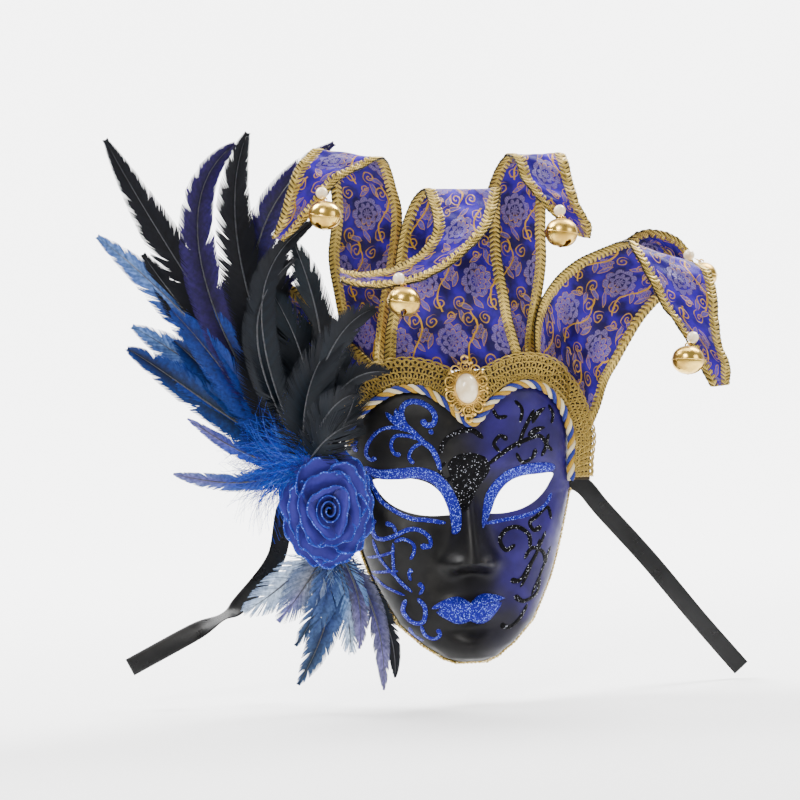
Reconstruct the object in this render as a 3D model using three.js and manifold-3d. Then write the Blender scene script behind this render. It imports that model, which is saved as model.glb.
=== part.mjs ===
// A jester mask: a full-face shell with open eyes, six folded brocade horns with braided edges,
// jingle bells, a lace band and rope round the brow, a pearl brooch, a fabric rose and feathers.
// Millimetres. X runs across the face, the face looks along -Y, Z is up. The origin is the middle
// of the inside of the brow, level with the eyes, where the mask sits on the wearer.
import * as THREE from 'three';
import { mergeVertices } from 'three/addons/utils/BufferGeometryUtils.js';
import Module from 'manifold-3d';

const wasm = await Module();
wasm.setup();

// Driving sizes
const faceWidth = 174; // temple to temple
const chinDrop = 124; // eye line down to the chin's edge
const browRise = 88; // eye line up to the shell's top edge
const faceDepth = 46; // brow back to the temples' edge
const shellWall = 2;
const noseLength = 52;
const noseHeight = 0.44 * noseLength; // how far the nose's tip stands forwards
const eyeWidth = 56;
const eyeHeight = 28;
const eyeInner = 13; // midline to the eye's inner corner
const eyeSill = -13; // height of the eye's lowest point
const clearance = 0.3; // between pieces that touch
const clothWall = 1.6;
const braidWidth = 9;
const braidThick = 2.8;
const bandThick = 1.6;
const bandWidth = 20;
const ropeRadius = 3.2;
const ropePitch = 18; // one full turn of the rope's strands
const rimRadius = 1.7;
const bellRadius = 12;
const bellHeight = 21;
const bellWall = 1;
const beadRadius = 4.4;
const wireRadius = 0.6;
const broochWidth = 34;
const broochHeight = 50;
const broochThick = 1.4;
const pearlWidth = 17;
const pearlHeight = 23;
const roseRadius = 36;
const roseDepth = 26;
const roseStretch = 1.28; // taller than wide
const ribbonWidth = 14;
const ribbonThick = 0.9;
const plumeReach = 190; // sideways from the feathers' root to the farthest tip
const plumeRise = 250; // up from the root to the tallest tip
const plumeDrop = 110; // down from the rose to the lowest tip
const plumeBulge = 44; // how far forwards the foremost plume bends
const plumeBroad = 34;
const plumeThick = 2;
const feltThick = 3; // pads that hold the feathers and the rose

// Face, a row for each level. Up is a share of the chin's drop below the eyes and of the brow's
// rise above them, half a share of half the width, edge and mid shares of the depth.
const faceRows = [
  { up: -1.0, half: 0.14, edge: 0.06, mid: 0.0 },
  { up: -0.975, half: 0.24, edge: 0.14, mid: -0.12 },
  { up: -0.9, half: 0.4, edge: 0.28, mid: -0.19 },
  { up: -0.78, half: 0.59, edge: 0.5, mid: -0.17 },
  { up: -0.53, half: 0.78, edge: 0.76, mid: -0.1 },
  { up: -0.25, half: 0.91, edge: 0.92, mid: -0.04 },
  { up: 0.05, half: 1.0, edge: 1.0, mid: -0.02 },
  { up: 0.45, half: 0.99, edge: 1.0, mid: -0.1 },
  { up: 0.7, half: 0.92, edge: 1.03, mid: -0.07 },
  { up: 0.88, half: 0.79, edge: 1.1, mid: 0.03 },
  { up: 0.97, half: 0.67, edge: 1.15, mid: 0.1 },
  { up: 1.0, half: 0.52, edge: 1.18, mid: 0.14 },
];

// Swellings and hollows of the face. Side is a share of half the width, up and tall of the chin's
// drop, wide of half the width, lift of the depth; all but the middle ones come in pairs.
const faceBumps = [
  { name: 'socket', side: 0.5, up: 0.0, wide: 0.3, tall: 0.15, lift: -0.16 },
  { name: 'brow', side: 0.44, up: 0.21, wide: 0.32, tall: 0.09, lift: 0.07 },
  { name: 'cheekbone', side: 0.6, up: -0.27, wide: 0.24, tall: 0.17, lift: 0.1 },
  { name: 'nostril', side: 0.16, up: -0.41, wide: 0.08, tall: 0.055, lift: 0.17 },
  { name: 'mouth', side: 0.0, up: -0.67, wide: 0.32, tall: 0.15, lift: 0.1 },
  { name: 'upper lip', side: 0.1, up: -0.635, wide: 0.13, tall: 0.035, lift: 0.08 },
  { name: 'lower lip', side: 0.0, up: -0.71, wide: 0.17, tall: 0.045, lift: 0.1 },
  { name: 'chin dip', side: 0.0, up: -0.8, wide: 0.17, tall: 0.04, lift: -0.06 },
  { name: 'chin', side: 0.0, up: -0.9, wide: 0.2, tall: 0.09, lift: 0.13 },
];

// Eye outline from its low inner corner: shares of the eye's width outwards and height upwards.
const eyeOutline = [
  { out: 0.0, up: 0.0 },
  { out: 0.03, up: 0.3 },
  { out: 0.13, up: 0.6 },
  { out: 0.28, up: 0.85 },
  { out: 0.5, up: 0.99 },
  { out: 0.78, up: 1.0 },
  { out: 1.0, up: 0.97 },
  { out: 0.96, up: 0.74 },
  { out: 0.86, up: 0.46 },
  { out: 0.72, up: 0.23 },
  { out: 0.52, up: 0.06 },
  { out: 0.27, up: -0.02 },
];

// Brow line that the rope follows, from the wearer's right temple over two arches to the left one:
// side is a share of half the face's width, up of the brow's rise.
const browLine = [
  { side: -0.985, up: 0.46 },
  { side: -0.91, up: 0.65 },
  { side: -0.74, up: 0.83 },
  { side: -0.54, up: 0.92 },
  { side: -0.34, up: 0.9 },
  { side: -0.17, up: 0.79 },
  { side: 0.03, up: 0.63 },
  { side: 0.24, up: 0.81 },
  { side: 0.45, up: 0.92 },
  { side: 0.65, up: 0.91 },
  { side: 0.81, up: 0.79 },
  { side: 0.91, up: 0.6 },
  { side: 0.965, up: 0.35 },
  { side: 0.965, up: 0.08 },
];

// Horns: folded strips that rise from the brow, turn forward over a fold and fall to a tip.
// foot is where the strip's lowest row is centred: shares of half the face's width, the brow's rise
// and the face's depth. In the rows side is a share of reach, up of rise, ahead of overhang, broad
// of breadth; tilt and swing turn the strip's width in degrees.
// The foot follows the brow up to row hold and leaves it by row hug; layer is how many braids'
// thickness it lies behind its neighbours.
const horns = [
  {
    name: 'horn_left', foot: [-0.897, 0.818, 0.174], reach: 97, rise: 88, overhang: 24, breadth: 66,
    layer: 0.5, hold: 0.9, hug: 1.7,
    rows: [
      { side: 0.0, up: 0.0, ahead: 0.0, broad: 1.0, tilt: -118, swing: 14 },
      { side: -0.18, up: 0.28, ahead: -0.6, broad: 0.85, tilt: -122, swing: 16 },
      { side: -0.35, up: 0.54, ahead: -0.7, broad: 0.76, tilt: -123, swing: 16 },
      { side: -0.55, up: 0.76, ahead: -0.85, broad: 0.7, tilt: -123, swing: 14 },
      { side: -0.73, up: 0.94, ahead: -0.85, broad: 0.62, tilt: -123, swing: 12 },
      { side: -0.83, up: 1.0, ahead: -0.76, broad: 0.54, tilt: -124, swing: 12 },
      { side: -0.9, up: 0.97, ahead: -0.6, broad: 0.46, tilt: -126, swing: 12 },
      { side: -0.95, up: 0.86, ahead: -0.45, broad: 0.38, tilt: -134, swing: 12 },
      { side: -0.98, up: 0.7, ahead: -0.36, broad: 0.3, tilt: -145, swing: 12 },
      { side: -1.0, up: 0.5, ahead: -0.36, broad: 0.17, tilt: -160, swing: 12 },
    ],
  },
  {
    name: 'horn_upper_left', foot: [-0.828, 1.17, 0.717], reach: 70, rise: 154, overhang: 65, breadth: 53,
    layer: 2.2, hold: 0, hug: 0.8,
    rows: [
      { side: 0.0, up: 0.0, ahead: 0.0, broad: 0.6, tilt: -32, swing: 0 },
      { side: 0.0, up: 0.28, ahead: 0.03, broad: 0.8, tilt: -12, swing: 0 },
      { side: 0.01, up: 0.5, ahead: 0.14, broad: 1.0, tilt: -5, swing: 0 },
      { side: 0.05, up: 0.71, ahead: 0.28, broad: 1.0, tilt: -1, swing: 0 },
      { side: 0.0, up: 0.86, ahead: 0.38, broad: 0.95, tilt: -6, swing: 0 },
      { side: -0.08, up: 0.96, ahead: 0.5, broad: 0.97, tilt: -8, swing: 0 },
      { side: -0.18, up: 1.0, ahead: 0.66, broad: 0.98, tilt: -8, swing: 0 },
      { side: -0.35, up: 0.96, ahead: 0.79, broad: 0.82, tilt: -12, swing: 0 },
      { side: -0.54, up: 0.9, ahead: 0.9, broad: 0.64, tilt: -16, swing: -3 },
      { side: -0.66, up: 0.81, ahead: 0.95, broad: 0.54, tilt: -13, swing: -4 },
      { side: -0.76, up: 0.73, ahead: 0.98, broad: 0.43, tilt: -10, swing: -5 },
      { side: -0.86, up: 0.66, ahead: 1.0, broad: 0.31, tilt: -9, swing: -8 },
      { side: -0.97, up: 0.6, ahead: 1.0, broad: 0.17, tilt: -18, swing: -12 },
    ],
  },
  {
    name: 'horn_centre', foot: [-0.057, 1.08, 0.13], reach: 92, rise: 134, overhang: 52, breadth: 108,
    layer: 0, hold: 0.9, hug: 1.8,
    rows: [
      { side: 0.0, up: 0.0, ahead: 0.0, broad: 1.0, tilt: 1, swing: 0 },
      { side: -0.04, up: 0.25, ahead: 0.08, broad: 0.89, tilt: 2, swing: 0 },
      { side: -0.05, up: 0.48, ahead: 0.1, broad: 0.79, tilt: -1, swing: 0 },
      { side: -0.05, up: 0.67, ahead: 0.08, broad: 0.73, tilt: -1, swing: 0 },
      { side: -0.02, up: 0.84, ahead: 0.08, broad: 0.68, tilt: 0, swing: 0 },
      { side: 0.02, up: 0.96, ahead: 0.17, broad: 0.61, tilt: -1, swing: 0 },
      { side: 0.05, up: 1.0, ahead: 0.34, broad: 0.54, tilt: -1, swing: 0 },
      { side: 0.03, up: 0.91, ahead: 0.56, broad: 0.47, tilt: -5, swing: -2 },
      { side: -0.01, up: 0.8, ahead: 0.77, broad: 0.38, tilt: -8, swing: -6 },
      { side: -0.1, up: 0.71, ahead: 0.9, broad: 0.31, tilt: -9, swing: -12 },
      { side: -0.25, up: 0.62, ahead: 0.98, broad: 0.27, tilt: -16, swing: -22 },
      { side: -0.45, up: 0.55, ahead: 1.0, broad: 0.24, tilt: -28, swing: -33 },
      { side: -0.67, up: 0.52, ahead: 0.96, broad: 0.21, tilt: -42, swing: -38 },
      { side: -0.86, up: 0.52, ahead: 0.88, broad: 0.17, tilt: -61, swing: -43 },
      { side: -0.99, up: 0.55, ahead: 0.8, broad: 0.12, tilt: -90, swing: -40 },
    ],
  },
  {
    name: 'horn_upper_right', foot: [0.494, 1.17, 0.674], reach: 43, rise: 151, overhang: 61, breadth: 50,
    layer: 2.4, hold: 0, hug: 0.8,
    rows: [
      { side: 0.0, up: 0.0, ahead: 0.0, broad: 0.6, tilt: -6, swing: 0 },
      { side: 0.0, up: 0.22, ahead: 0.09, broad: 0.78, tilt: -10, swing: 0 },
      { side: 0.0, up: 0.48, ahead: 0.18, broad: 1.0, tilt: -10, swing: 0 },
      { side: 0.0, up: 0.67, ahead: 0.24, broad: 0.98, tilt: -6, swing: 0 },
      { side: 0.07, up: 0.83, ahead: 0.29, broad: 0.91, tilt: -10, swing: 0 },
      { side: 0.2, up: 0.94, ahead: 0.38, broad: 0.9, tilt: -4, swing: 0 },
      { side: 0.32, up: 1.0, ahead: 0.49, broad: 0.9, tilt: 0, swing: 0 },
      { side: 0.39, up: 0.98, ahead: 0.64, broad: 0.82, tilt: -3, swing: -1 },
      { side: 0.46, up: 0.87, ahead: 0.78, broad: 0.79, tilt: -6, swing: -1 },
      { side: 0.58, up: 0.78, ahead: 0.89, broad: 0.7, tilt: -12, swing: -2 },
      { side: 0.74, up: 0.71, ahead: 0.93, broad: 0.6, tilt: -10, swing: -2 },
      { side: 0.9, up: 0.65, ahead: 0.96, broad: 0.46, tilt: -9, swing: -3 },
      { side: 1.0, up: 0.59, ahead: 1.0, broad: 0.2, tilt: -14, swing: -6 },
    ],
  },
  {
    name: 'horn_right', foot: [0.897, 0.795, 0.261], reach: 110, rise: 108, overhang: 42, breadth: 96,
    layer: 0.72, hold: 1.3, hug: 2.2,
    rows: [
      { side: 0.0, up: 0.0, ahead: 0.0, broad: 0.86, tilt: -59, swing: 16 },
      { side: 0.06, up: 0.24, ahead: -0.2, broad: 0.92, tilt: -52, swing: 14 },
      { side: 0.16, up: 0.5, ahead: -0.22, broad: 0.9, tilt: -50, swing: 12 },
      { side: 0.34, up: 0.74, ahead: -0.22, broad: 0.78, tilt: -41, swing: 11 },
      { side: 0.51, up: 0.87, ahead: -0.18, broad: 0.68, tilt: -37, swing: 9 },
      { side: 0.64, up: 0.96, ahead: -0.06, broad: 0.64, tilt: -28, swing: 7 },
      { side: 0.7, up: 1.0, ahead: 0.14, broad: 0.63, tilt: -20, swing: 7 },
      { side: 0.74, up: 0.95, ahead: 0.36, broad: 0.64, tilt: -14, swing: 5 },
      { side: 0.79, up: 0.8, ahead: 0.55, broad: 0.58, tilt: -10, swing: 6 },
      { side: 0.83, up: 0.6, ahead: 0.7, broad: 0.49, tilt: -13, swing: 7 },
      { side: 0.88, up: 0.44, ahead: 0.81, broad: 0.39, tilt: -20, swing: 6 },
      { side: 0.96, up: 0.25, ahead: 0.9, broad: 0.3, tilt: -18, swing: 4 },
      { side: 1.0, up: 0.08, ahead: 0.96, broad: 0.15, tilt: 4, swing: 0 },
    ],
  },
  {
    name: 'horn_far_right', foot: [0.966, 1.091, 0.855], reach: 107, rise: 92, overhang: 20, breadth: 76,
    layer: 0, hold: 0, hug: 0,
    rows: [
      { side: 0.0, up: 0.0, ahead: 0.0, broad: 0.85, tilt: -47, swing: 12 },
      { side: 0.17, up: 0.36, ahead: -0.5, broad: 0.95, tilt: -41, swing: 11 },
      { side: 0.37, up: 0.61, ahead: -0.9, broad: 0.86, tilt: -37, swing: 9 },
      { side: 0.55, up: 0.79, ahead: -1.0, broad: 0.74, tilt: -28, swing: 6 },
      { side: 0.68, up: 0.92, ahead: -0.9, broad: 0.6, tilt: -22, swing: 5 },
      { side: 0.7, up: 0.99, ahead: -0.6, broad: 0.47, tilt: -23, swing: 6 },
      { side: 0.71, up: 1.01, ahead: -0.35, broad: 0.38, tilt: -34, swing: 5 },
      { side: 0.75, up: 0.99, ahead: -0.2, broad: 0.34, tilt: -57, swing: 0 },
      { side: 0.83, up: 0.93, ahead: -0.15, broad: 0.36, tilt: -79, swing: -4 },
      { side: 0.91, up: 0.83, ahead: -0.1, broad: 0.36, tilt: -96, swing: -8 },
      { side: 0.97, up: 0.67, ahead: -0.1, broad: 0.32, tilt: -100, swing: -10 },
      { side: 1.0, up: 0.48, ahead: -0.1, broad: 0.18, tilt: -96, swing: -12 },
    ],
  },
];

// Where each bell and its bead hang: along is the row's place on the horn's strip, across runs from
// the strip's first edge (0) to its second (1). Drop, ahead and aside are how far the bell's top
// hangs below, in front of and beside its bead, as shares of the bell's radius.
const bells = [
  { name: '1', horn: 'horn_upper_left', along: 8.9, across: 0.85, drop: 0.12, ahead: 0.75, aside: 0.08 },
  { name: '2', horn: 'horn_centre', along: 11.7, across: 0.9, drop: 0.12, ahead: 0.75, aside: 0.17 },
  { name: '3', horn: 'horn_upper_right', along: 10.1, across: 0.25, drop: 0.12, ahead: 0.75, aside: -0.08 },
  { name: '4', horn: 'horn_right', along: 10.4, across: 0.12, drop: 0.12, ahead: 0.9, aside: -0.58 },
  { name: '5', horn: 'horn_far_right', along: 9.1, across: 0.3, drop: 0.12, ahead: 0.75, aside: 0.6 },
];

// Bell profile from the top of its skin down: shares of its radius and height.
const bellProfile = [
  { out: 0.6, up: 0.92 },
  { out: 1.0, up: 0.56 },
  { out: 0.9, up: 0.26 },
  { out: 0.5, up: 0.05 },
];

// Feathers, each a curved blade from a root under the rose. Bends and tip are shares of the plumes'
// reach (side) and of their rise or drop (up) from the root, ahead of their bulge forwards and
// broad of the broadest plume.
const upperPlumes = [
  { b1: [-0.25, 0.34], b2: [-0.5, 0.61], tip: [-0.74, 0.97], ahead: -0.09, broad: 0.82 },
  { b1: [-0.37, 0.37], b2: [-0.55, 0.79], tip: [-0.25, 0.95], ahead: 0.05, broad: 0.71 },
  { b1: [-0.14, 0.34], b2: [-0.36, 0.7], tip: [-0.2, 0.98], ahead: 0.14, broad: 0.82 },
  { b1: [-0.28, 0.35], b2: [-0.29, 0.75], tip: [0.14, 0.95], ahead: -0.2, broad: 0.76 },
  { b1: [-0.26, 0.29], b2: [-0.48, 0.5], tip: [-0.78, 0.69], ahead: -0.18, broad: 0.76 },
  { b1: [-0.21, 0.35], b2: [-0.26, 0.59], tip: [0.04, 0.72], ahead: 0.68, broad: 0.53 },
  { b1: [0.12, 0.28], b2: [0.05, 0.48], tip: [-0.04, 0.66], ahead: 0.52, broad: 0.82 },
  { b1: [0.0, 0.26], b2: [0.1, 0.43], tip: [0.25, 0.46], ahead: 1.0, broad: 0.65 },
  { b1: [-0.04, 0.14], b2: [-0.02, 0.31], tip: [0.17, 0.42], ahead: 0.75, broad: 1.0 },
  { b1: [-0.31, 0.14], b2: [-0.53, 0.29], tip: [-0.68, 0.36], ahead: 0.0, broad: 0.59 },
  { b1: [-0.2, 0.13], b2: [-0.35, 0.35], tip: [-0.51, 0.47], ahead: 0.09, broad: 0.71 },
  { b1: [-0.2, 0.0], b2: [-0.33, 0.08], tip: [-0.46, 0.15], ahead: 0.18, broad: 0.3 },
  { b1: [-0.22, -0.07], b2: [-0.37, -0.04], tip: [-0.52, -0.01], ahead: 0.18, broad: 0.35 },
];
const lowerPlumes = [
  { b1: [-0.17, -0.25], b2: [-0.25, -0.37], tip: [-0.35, -0.45], ahead: 0.0, broad: 0.65 },
  { b1: [-0.09, -0.25], b2: [-0.14, -0.37], tip: [-0.22, -0.52], ahead: 0.09, broad: 0.71 },
  { b1: [0.01, -0.39], b2: [-0.04, -0.65], tip: [-0.15, -0.95], ahead: 0.18, broad: 0.59 },
  { b1: [0.06, -0.39], b2: [0.05, -0.59], tip: [0.06, -0.74], ahead: 0.27, broad: 0.59 },
  { b1: [0.16, -0.33], b2: [0.19, -0.66], tip: [0.18, -1.0], ahead: 0.39, broad: 0.41 },
  { b1: [0.2, -0.4], b2: [0.24, -0.68], tip: [0.23, -0.93], ahead: 0.23, broad: 0.32 },
];

// Ribbons, glued behind each temple's edge and hanging to their cut ends. Side and down are shares
// of the ribbon's reach and fall, turn shows it face on (0) to edge on (90).
const ribbonRight = {
  side: 1, reach: 139, fall: 156,
  rows: [
    { side: 0, down: 0, turn: 0 },
    { side: 0.11, down: 0.05, turn: 0 },
    { side: 0.22, down: 0.17, turn: 12 },
    { side: 0.475, down: 0.43, turn: 0 },
    { side: 0.755, down: 0.74, turn: 20 },
    { side: 1, down: 1, turn: 0 },
  ],
};
const ribbonLeft = {
  side: -1, reach: 171, fall: 132,
  rows: [
    { side: 0, down: 0, turn: 0 },
    { side: 0.15, down: 0.02, turn: 0 },
    { side: 0.28, down: 0.1, turn: 20 },
    { side: 0.34, down: 0.41, turn: 0 },
    { side: 0.5, down: 0.66, turn: 30 },
    { side: 0.585, down: 0.735, turn: 75 },
    { side: 0.73, down: 0.826, turn: 20 },
    { side: 1, down: 1, turn: 0 },
  ],
};

// Shared helpers
const { lerp, clamp, smoothstep, degToRad } = THREE.MathUtils;
const halfFace = faceWidth / 2;
const gauss = (distance, size) => Math.exp(-((distance / size) ** 2));

// Smooth value of one column at a place along a table, counted in rows.
function along(rows, key, place) {
  const last = rows.length - 1;
  const i = clamp(Math.floor(place), 0, last - 1);
  const t = place - i;
  const at = (k) => rows[clamp(k, 0, last)][key];
  const [a, b, c, d] = [at(i - 1), at(i), at(i + 1), at(i + 2)];
  return b + 0.5 * t * (c - a + t * (2 * a - 5 * b + 4 * c - d + t * (3 * (b - c) + d - a)));
}

// Place, counted in rows, of a value in the table's rising first column.
function placeOf(rows, key, value) {
  const i = rows.findIndex((row, k) => k > 0 && row[key] >= value);
  const next = i < 0 ? rows.length - 1 : i;
  const low = rows[next - 1][key];
  return next - 1 + clamp((value - low) / (rows[next][key] - low), 0, 1);
}

// Closed body from rings of equal length, joined in order and capped at both ends. A ring's first
// half is one side of a wall and its second half the other. Both sides' cells are split along the
// same diagonal, so a thin wall that twists keeps its thickness.
function loft(rings) {
  const count = rings[0].length;
  const points = rings.flat();
  const index = [];
  for (let r = 0; r + 1 < rings.length; r++) {
    for (let k = 0; k < count; k++) {
      const a = r * count + k;
      const b = r * count + ((k + 1) % count);
      if (k < count / 2) {
        index.push(a, b, b + count, a, b + count, a + count);
      } else {
        index.push(a, b, a + count, b, b + count, a + count);
      }
    }
  }
  const last = points.length - count;
  const half = count / 2;
  for (let k = 0; k + 1 < half; k++) {
    const far = count - 1 - k;
    index.push(k, far, k + 1, k + 1, far, far - 1);
    index.push(last + k, last + k + 1, last + far, last + k + 1, last + far - 1, last + far);
  }
  const geometry = new THREE.BufferGeometry().setFromPoints(points);
  geometry.setIndex(index);
  return outward(geometry);
}

// Turns a closed geometry's faces outwards.
function outward(geometry) {
  const p = geometry.attributes.position;
  const index = geometry.index.array;
  const [a, b, c] = [new THREE.Vector3(), new THREE.Vector3(), new THREE.Vector3()];
  let volume = 0;
  for (let i = 0; i < index.length; i += 3) {
    a.fromBufferAttribute(p, index[i]);
    b.fromBufferAttribute(p, index[i + 1]);
    c.fromBufferAttribute(p, index[i + 2]);
    volume += a.dot(b.cross(c));
  }
  if (volume < 0) {
    for (let i = 0; i < index.length; i += 3) {
      [index[i], index[i + 1]] = [index[i + 1], index[i]];
    }
  }
  return geometry;
}

function toSolid(geometry) {
  const bare = geometry.clone();
  bare.deleteAttribute('normal');
  bare.deleteAttribute('uv');
  const merged = mergeVertices(bare, 1e-4);
  return new wasm.Manifold(new wasm.Mesh({
    numProp: 3,
    vertProperties: new Float32Array(merged.attributes.position.array),
    triVerts: new Uint32Array(merged.index.array),
  }));
}

function toGeometry(solid) {
  const mesh = solid.getMesh();
  const geometry = new THREE.BufferGeometry();
  geometry.setAttribute('position', new THREE.BufferAttribute(mesh.vertProperties, 3));
  geometry.setIndex(new THREE.BufferAttribute(mesh.triVerts, 1));
  return geometry;
}

function fuse(geometries) {
  return toGeometry(geometries.map(toSolid).reduce((whole, solid) => whole.add(solid)));
}

const mask = new THREE.Group();
function piece(name, geometry, colour, roughness, metalness) {
  geometry.computeVertexNormals();
  const material = new THREE.MeshStandardMaterial({ color: colour, roughness, metalness });
  const mesh = new THREE.Mesh(geometry, material);
  mesh.name = name;
  mask.add(mesh);
  return mesh;
}

// The face's outer surface: how far back it lies at a place across and up.
function heightShare(z) {
  return z < 0 ? z / chinDrop : z / browRise;
}

function outlineHalf(z) {
  return halfFace * along(faceRows, 'half', placeOf(faceRows, 'up', heightShare(z)));
}

function noseLift(x, z) {
  const run = clamp((0.1 * noseLength - z) / noseLength, 0, 1);
  const tip = 1 - smoothstep(-z, noseLength * 0.9, noseLength * 1.12);
  const wide = noseLength * (0.12 + 0.16 * run ** 1.5);
  const start = smoothstep(-z, -0.3 * noseLength, 0.1 * noseLength);
  return noseHeight * (0.16 + 0.84 * run ** 1.1) * start * tip * Math.exp(-(Math.abs(x / wide) ** 2.3));
}

function faceBack(x, z) {
  const place = placeOf(faceRows, 'up', heightShare(z));
  const mid = faceDepth * along(faceRows, 'mid', place);
  const edge = faceDepth * along(faceRows, 'edge', place);
  const full = z < 0 ? outlineHalf(z) : halfFace;
  const share = Math.min(Math.abs(x) / full, 1);
  let back = mid + (edge - mid) * (1 - Math.sqrt(Math.max(0, 1 - share ** 2.2)));
  const rim = 1 - smoothstep(share, 0.8, 1);
  for (const bump of faceBumps) {
    const up = gauss(z - bump.up * chinDrop, bump.tall * chinDrop);
    const spots = bump.side ? [-1, 1] : [1];
    for (const sign of spots) {
      const side = gauss(x - sign * bump.side * halfFace, bump.wide * halfFace);
      back -= faceDepth * bump.lift * up * side * rim;
    }
  }
  return back - noseLift(x, z) * rim;
}

// The brow's surface carried on past the shell's edge, for what is fixed round it.
function browBack(x, z) {
  const inside = 0.96 * halfFace;
  return faceBack(clamp(x, -inside, inside), Math.min(z, browRise));
}

// Face shell
const faceColumns = 20;
const faceLevels = 26;
const acrossShare = (k) => {
  const s = (2 * k) / faceColumns - 1;
  return 0.55 * s + 0.45 * Math.sin((Math.PI / 2) * s);
};
function faceShell() {
  const outer = [];
  for (let r = 0; r <= faceLevels; r++) {
    const s = r / faceLevels;
    const z = lerp(-chinDrop, browRise, 0.75 * s + 0.25 * (0.5 - 0.5 * Math.cos(Math.PI * s)));
    const half = outlineHalf(z);
    for (let k = 0; k <= faceColumns; k++) {
      const x = half * acrossShare(k);
      outer.push(new THREE.Vector3(x, faceBack(x, z), z));
    }
  }
  const wide = faceColumns + 1;
  const quads = [];
  for (let r = 0; r < faceLevels; r++) {
    for (let k = 0; k < faceColumns; k++) {
      const a = r * wide + k;
      quads.push(a, a + 1, a + wide + 1, a, a + wide + 1, a + wide);
    }
  }
  const skin = new THREE.BufferGeometry().setFromPoints(outer);
  skin.setIndex(quads);
  skin.computeVertexNormals();
  const normal = new THREE.Vector3();
  const inner = outer.map((point, i) => {
    normal.fromBufferAttribute(skin.attributes.normal, i);
    return point.clone().addScaledVector(normal, -shellWall);
  });
  const total = outer.length;
  const index = [...quads];
  for (let i = 0; i < quads.length; i += 3) {
    index.push(quads[i] + total, quads[i + 2] + total, quads[i + 1] + total);
  }
  const border = [];
  for (let k = 0; k < faceColumns; k++) border.push(k);
  for (let r = 0; r < faceLevels; r++) border.push(r * wide + faceColumns);
  for (let k = faceColumns; k > 0; k--) border.push(faceLevels * wide + k);
  for (let r = faceLevels; r > 0; r--) border.push(r * wide);
  border.forEach((a, i) => {
    const b = border[(i + 1) % border.length];
    index.push(a, a + total, b + total, a, b + total, b);
  });
  const shell = new THREE.BufferGeometry().setFromPoints([...outer, ...inner]);
  shell.setIndex(index);
  return outward(shell);
}

function eyeCutter(sign) {
  const points = eyeOutline.map((p) => new THREE.Vector2(
    sign * (eyeInner + eyeWidth * p.out),
    eyeSill + eyeHeight * p.up,
  ));
  const geometry = new THREE.ExtrudeGeometry(new THREE.Shape(points), {
    depth: 2 * faceDepth,
    bevelEnabled: false,
  });
  geometry.rotateX(Math.PI / 2);
  geometry.translate(0, faceDepth, 0);
  return toSolid(geometry);
}

const shell = toSolid(faceShell()).subtract(eyeCutter(-1)).subtract(eyeCutter(1));
piece('face_shell', toGeometry(shell), 0x15131a, 0.45, 0);

// Horn strips: a point on a strip at a place along its rows and a share across.
function hornPoint(horn, place, across) {
  const column = (key) => along(horn.rows, key, place);
  const [footSide, footUp, footBack] = horn.foot;
  const tilt = degToRad(column('tilt'));
  const swing = degToRad(column('swing'));
  const wide = horn.breadth * column('broad') * (across - 0.5);
  const point = new THREE.Vector3(
    halfFace * footSide + horn.reach * column('side') + wide * Math.cos(swing) * Math.cos(tilt),
    faceDepth * footBack - horn.overhang * column('ahead') + wide * Math.sin(swing),
    browRise * footUp + horn.rise * column('up') + wide * Math.cos(swing) * Math.sin(tilt),
  );
  const hug = horn.hug ? 1 - smoothstep(place, horn.hold, horn.hug) : 0;
  const onBrow = browBack(point.x, point.z) + horn.layer * (braidThick + clearance);
  point.y = lerp(point.y, onBrow, hug);
  return point;
}

function hornNormal(horn, place, across) {
  const step = 0.02;
  const up = hornPoint(horn, Math.min(place + step, horn.rows.length - 1), across)
    .sub(hornPoint(horn, Math.max(place - step, 0), across));
  const side = hornPoint(horn, place, across + step).sub(hornPoint(horn, place, across - step));
  return side.cross(up).normalize();
}

// A strip's own part between two shares across, as a closed body of the given wall.
function hornStrip(horn, from, to, wall, levels, columns) {
  const rings = [];
  const last = horn.rows.length - 1;
  for (let i = 0; i <= levels; i++) {
    const place = (last * i) / levels;
    const [lo, hi] = [from(place), to(place)];
    const normal = hornNormal(horn, place, 0.5);
    const front = [];
    const back = [];
    for (let k = 0; k < columns; k++) {
      const across = lerp(lo, hi, k / (columns - 1));
      front.push(hornPoint(horn, place, across).addScaledVector(normal, wall / 2));
      back.unshift(hornPoint(horn, place, across).addScaledVector(normal, -wall / 2));
    }
    rings.push([...front, ...back]);
  }
  return loft(rings);
}

const hornLevels = 16;
const seam = 5.5 * clearance; // between a panel and the braids on its edges
function braidShare(horn, place) {
  const wide = horn.breadth * along(horn.rows, 'broad', place);
  return Math.min(braidWidth / wide, 0.42);
}

function edgeGap(horn, place) {
  return seam / (horn.breadth * along(horn.rows, 'broad', place));
}

for (const horn of horns) {
  const inner = (place) => braidShare(horn, place) + edgeGap(horn, place);
  piece(horn.name, hornStrip(horn, inner, (p) => 1 - inner(p), clothWall, hornLevels, 4), 0x2d1d9e, 0.5, 0);
  const first = hornStrip(horn, () => 0, (p) => braidShare(horn, p), braidThick, hornLevels, 2);
  const second = hornStrip(horn, (p) => 1 - braidShare(horn, p), () => 1, braidThick, hornLevels, 2);
  piece(`${horn.name}_braid_a`, first, 0xb09a5c, 0.45, 0.8);
  piece(`${horn.name}_braid_b`, second, 0xb09a5c, 0.45, 0.8);
}

function browNormal(x, z) {
  const slope = (dx, dz) => (browBack(x + dx, z + dz) - browBack(x - dx, z - dz)) / 2;
  return new THREE.Vector3(slope(1, 0), -1, slope(0, 1)).normalize();
}

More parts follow.
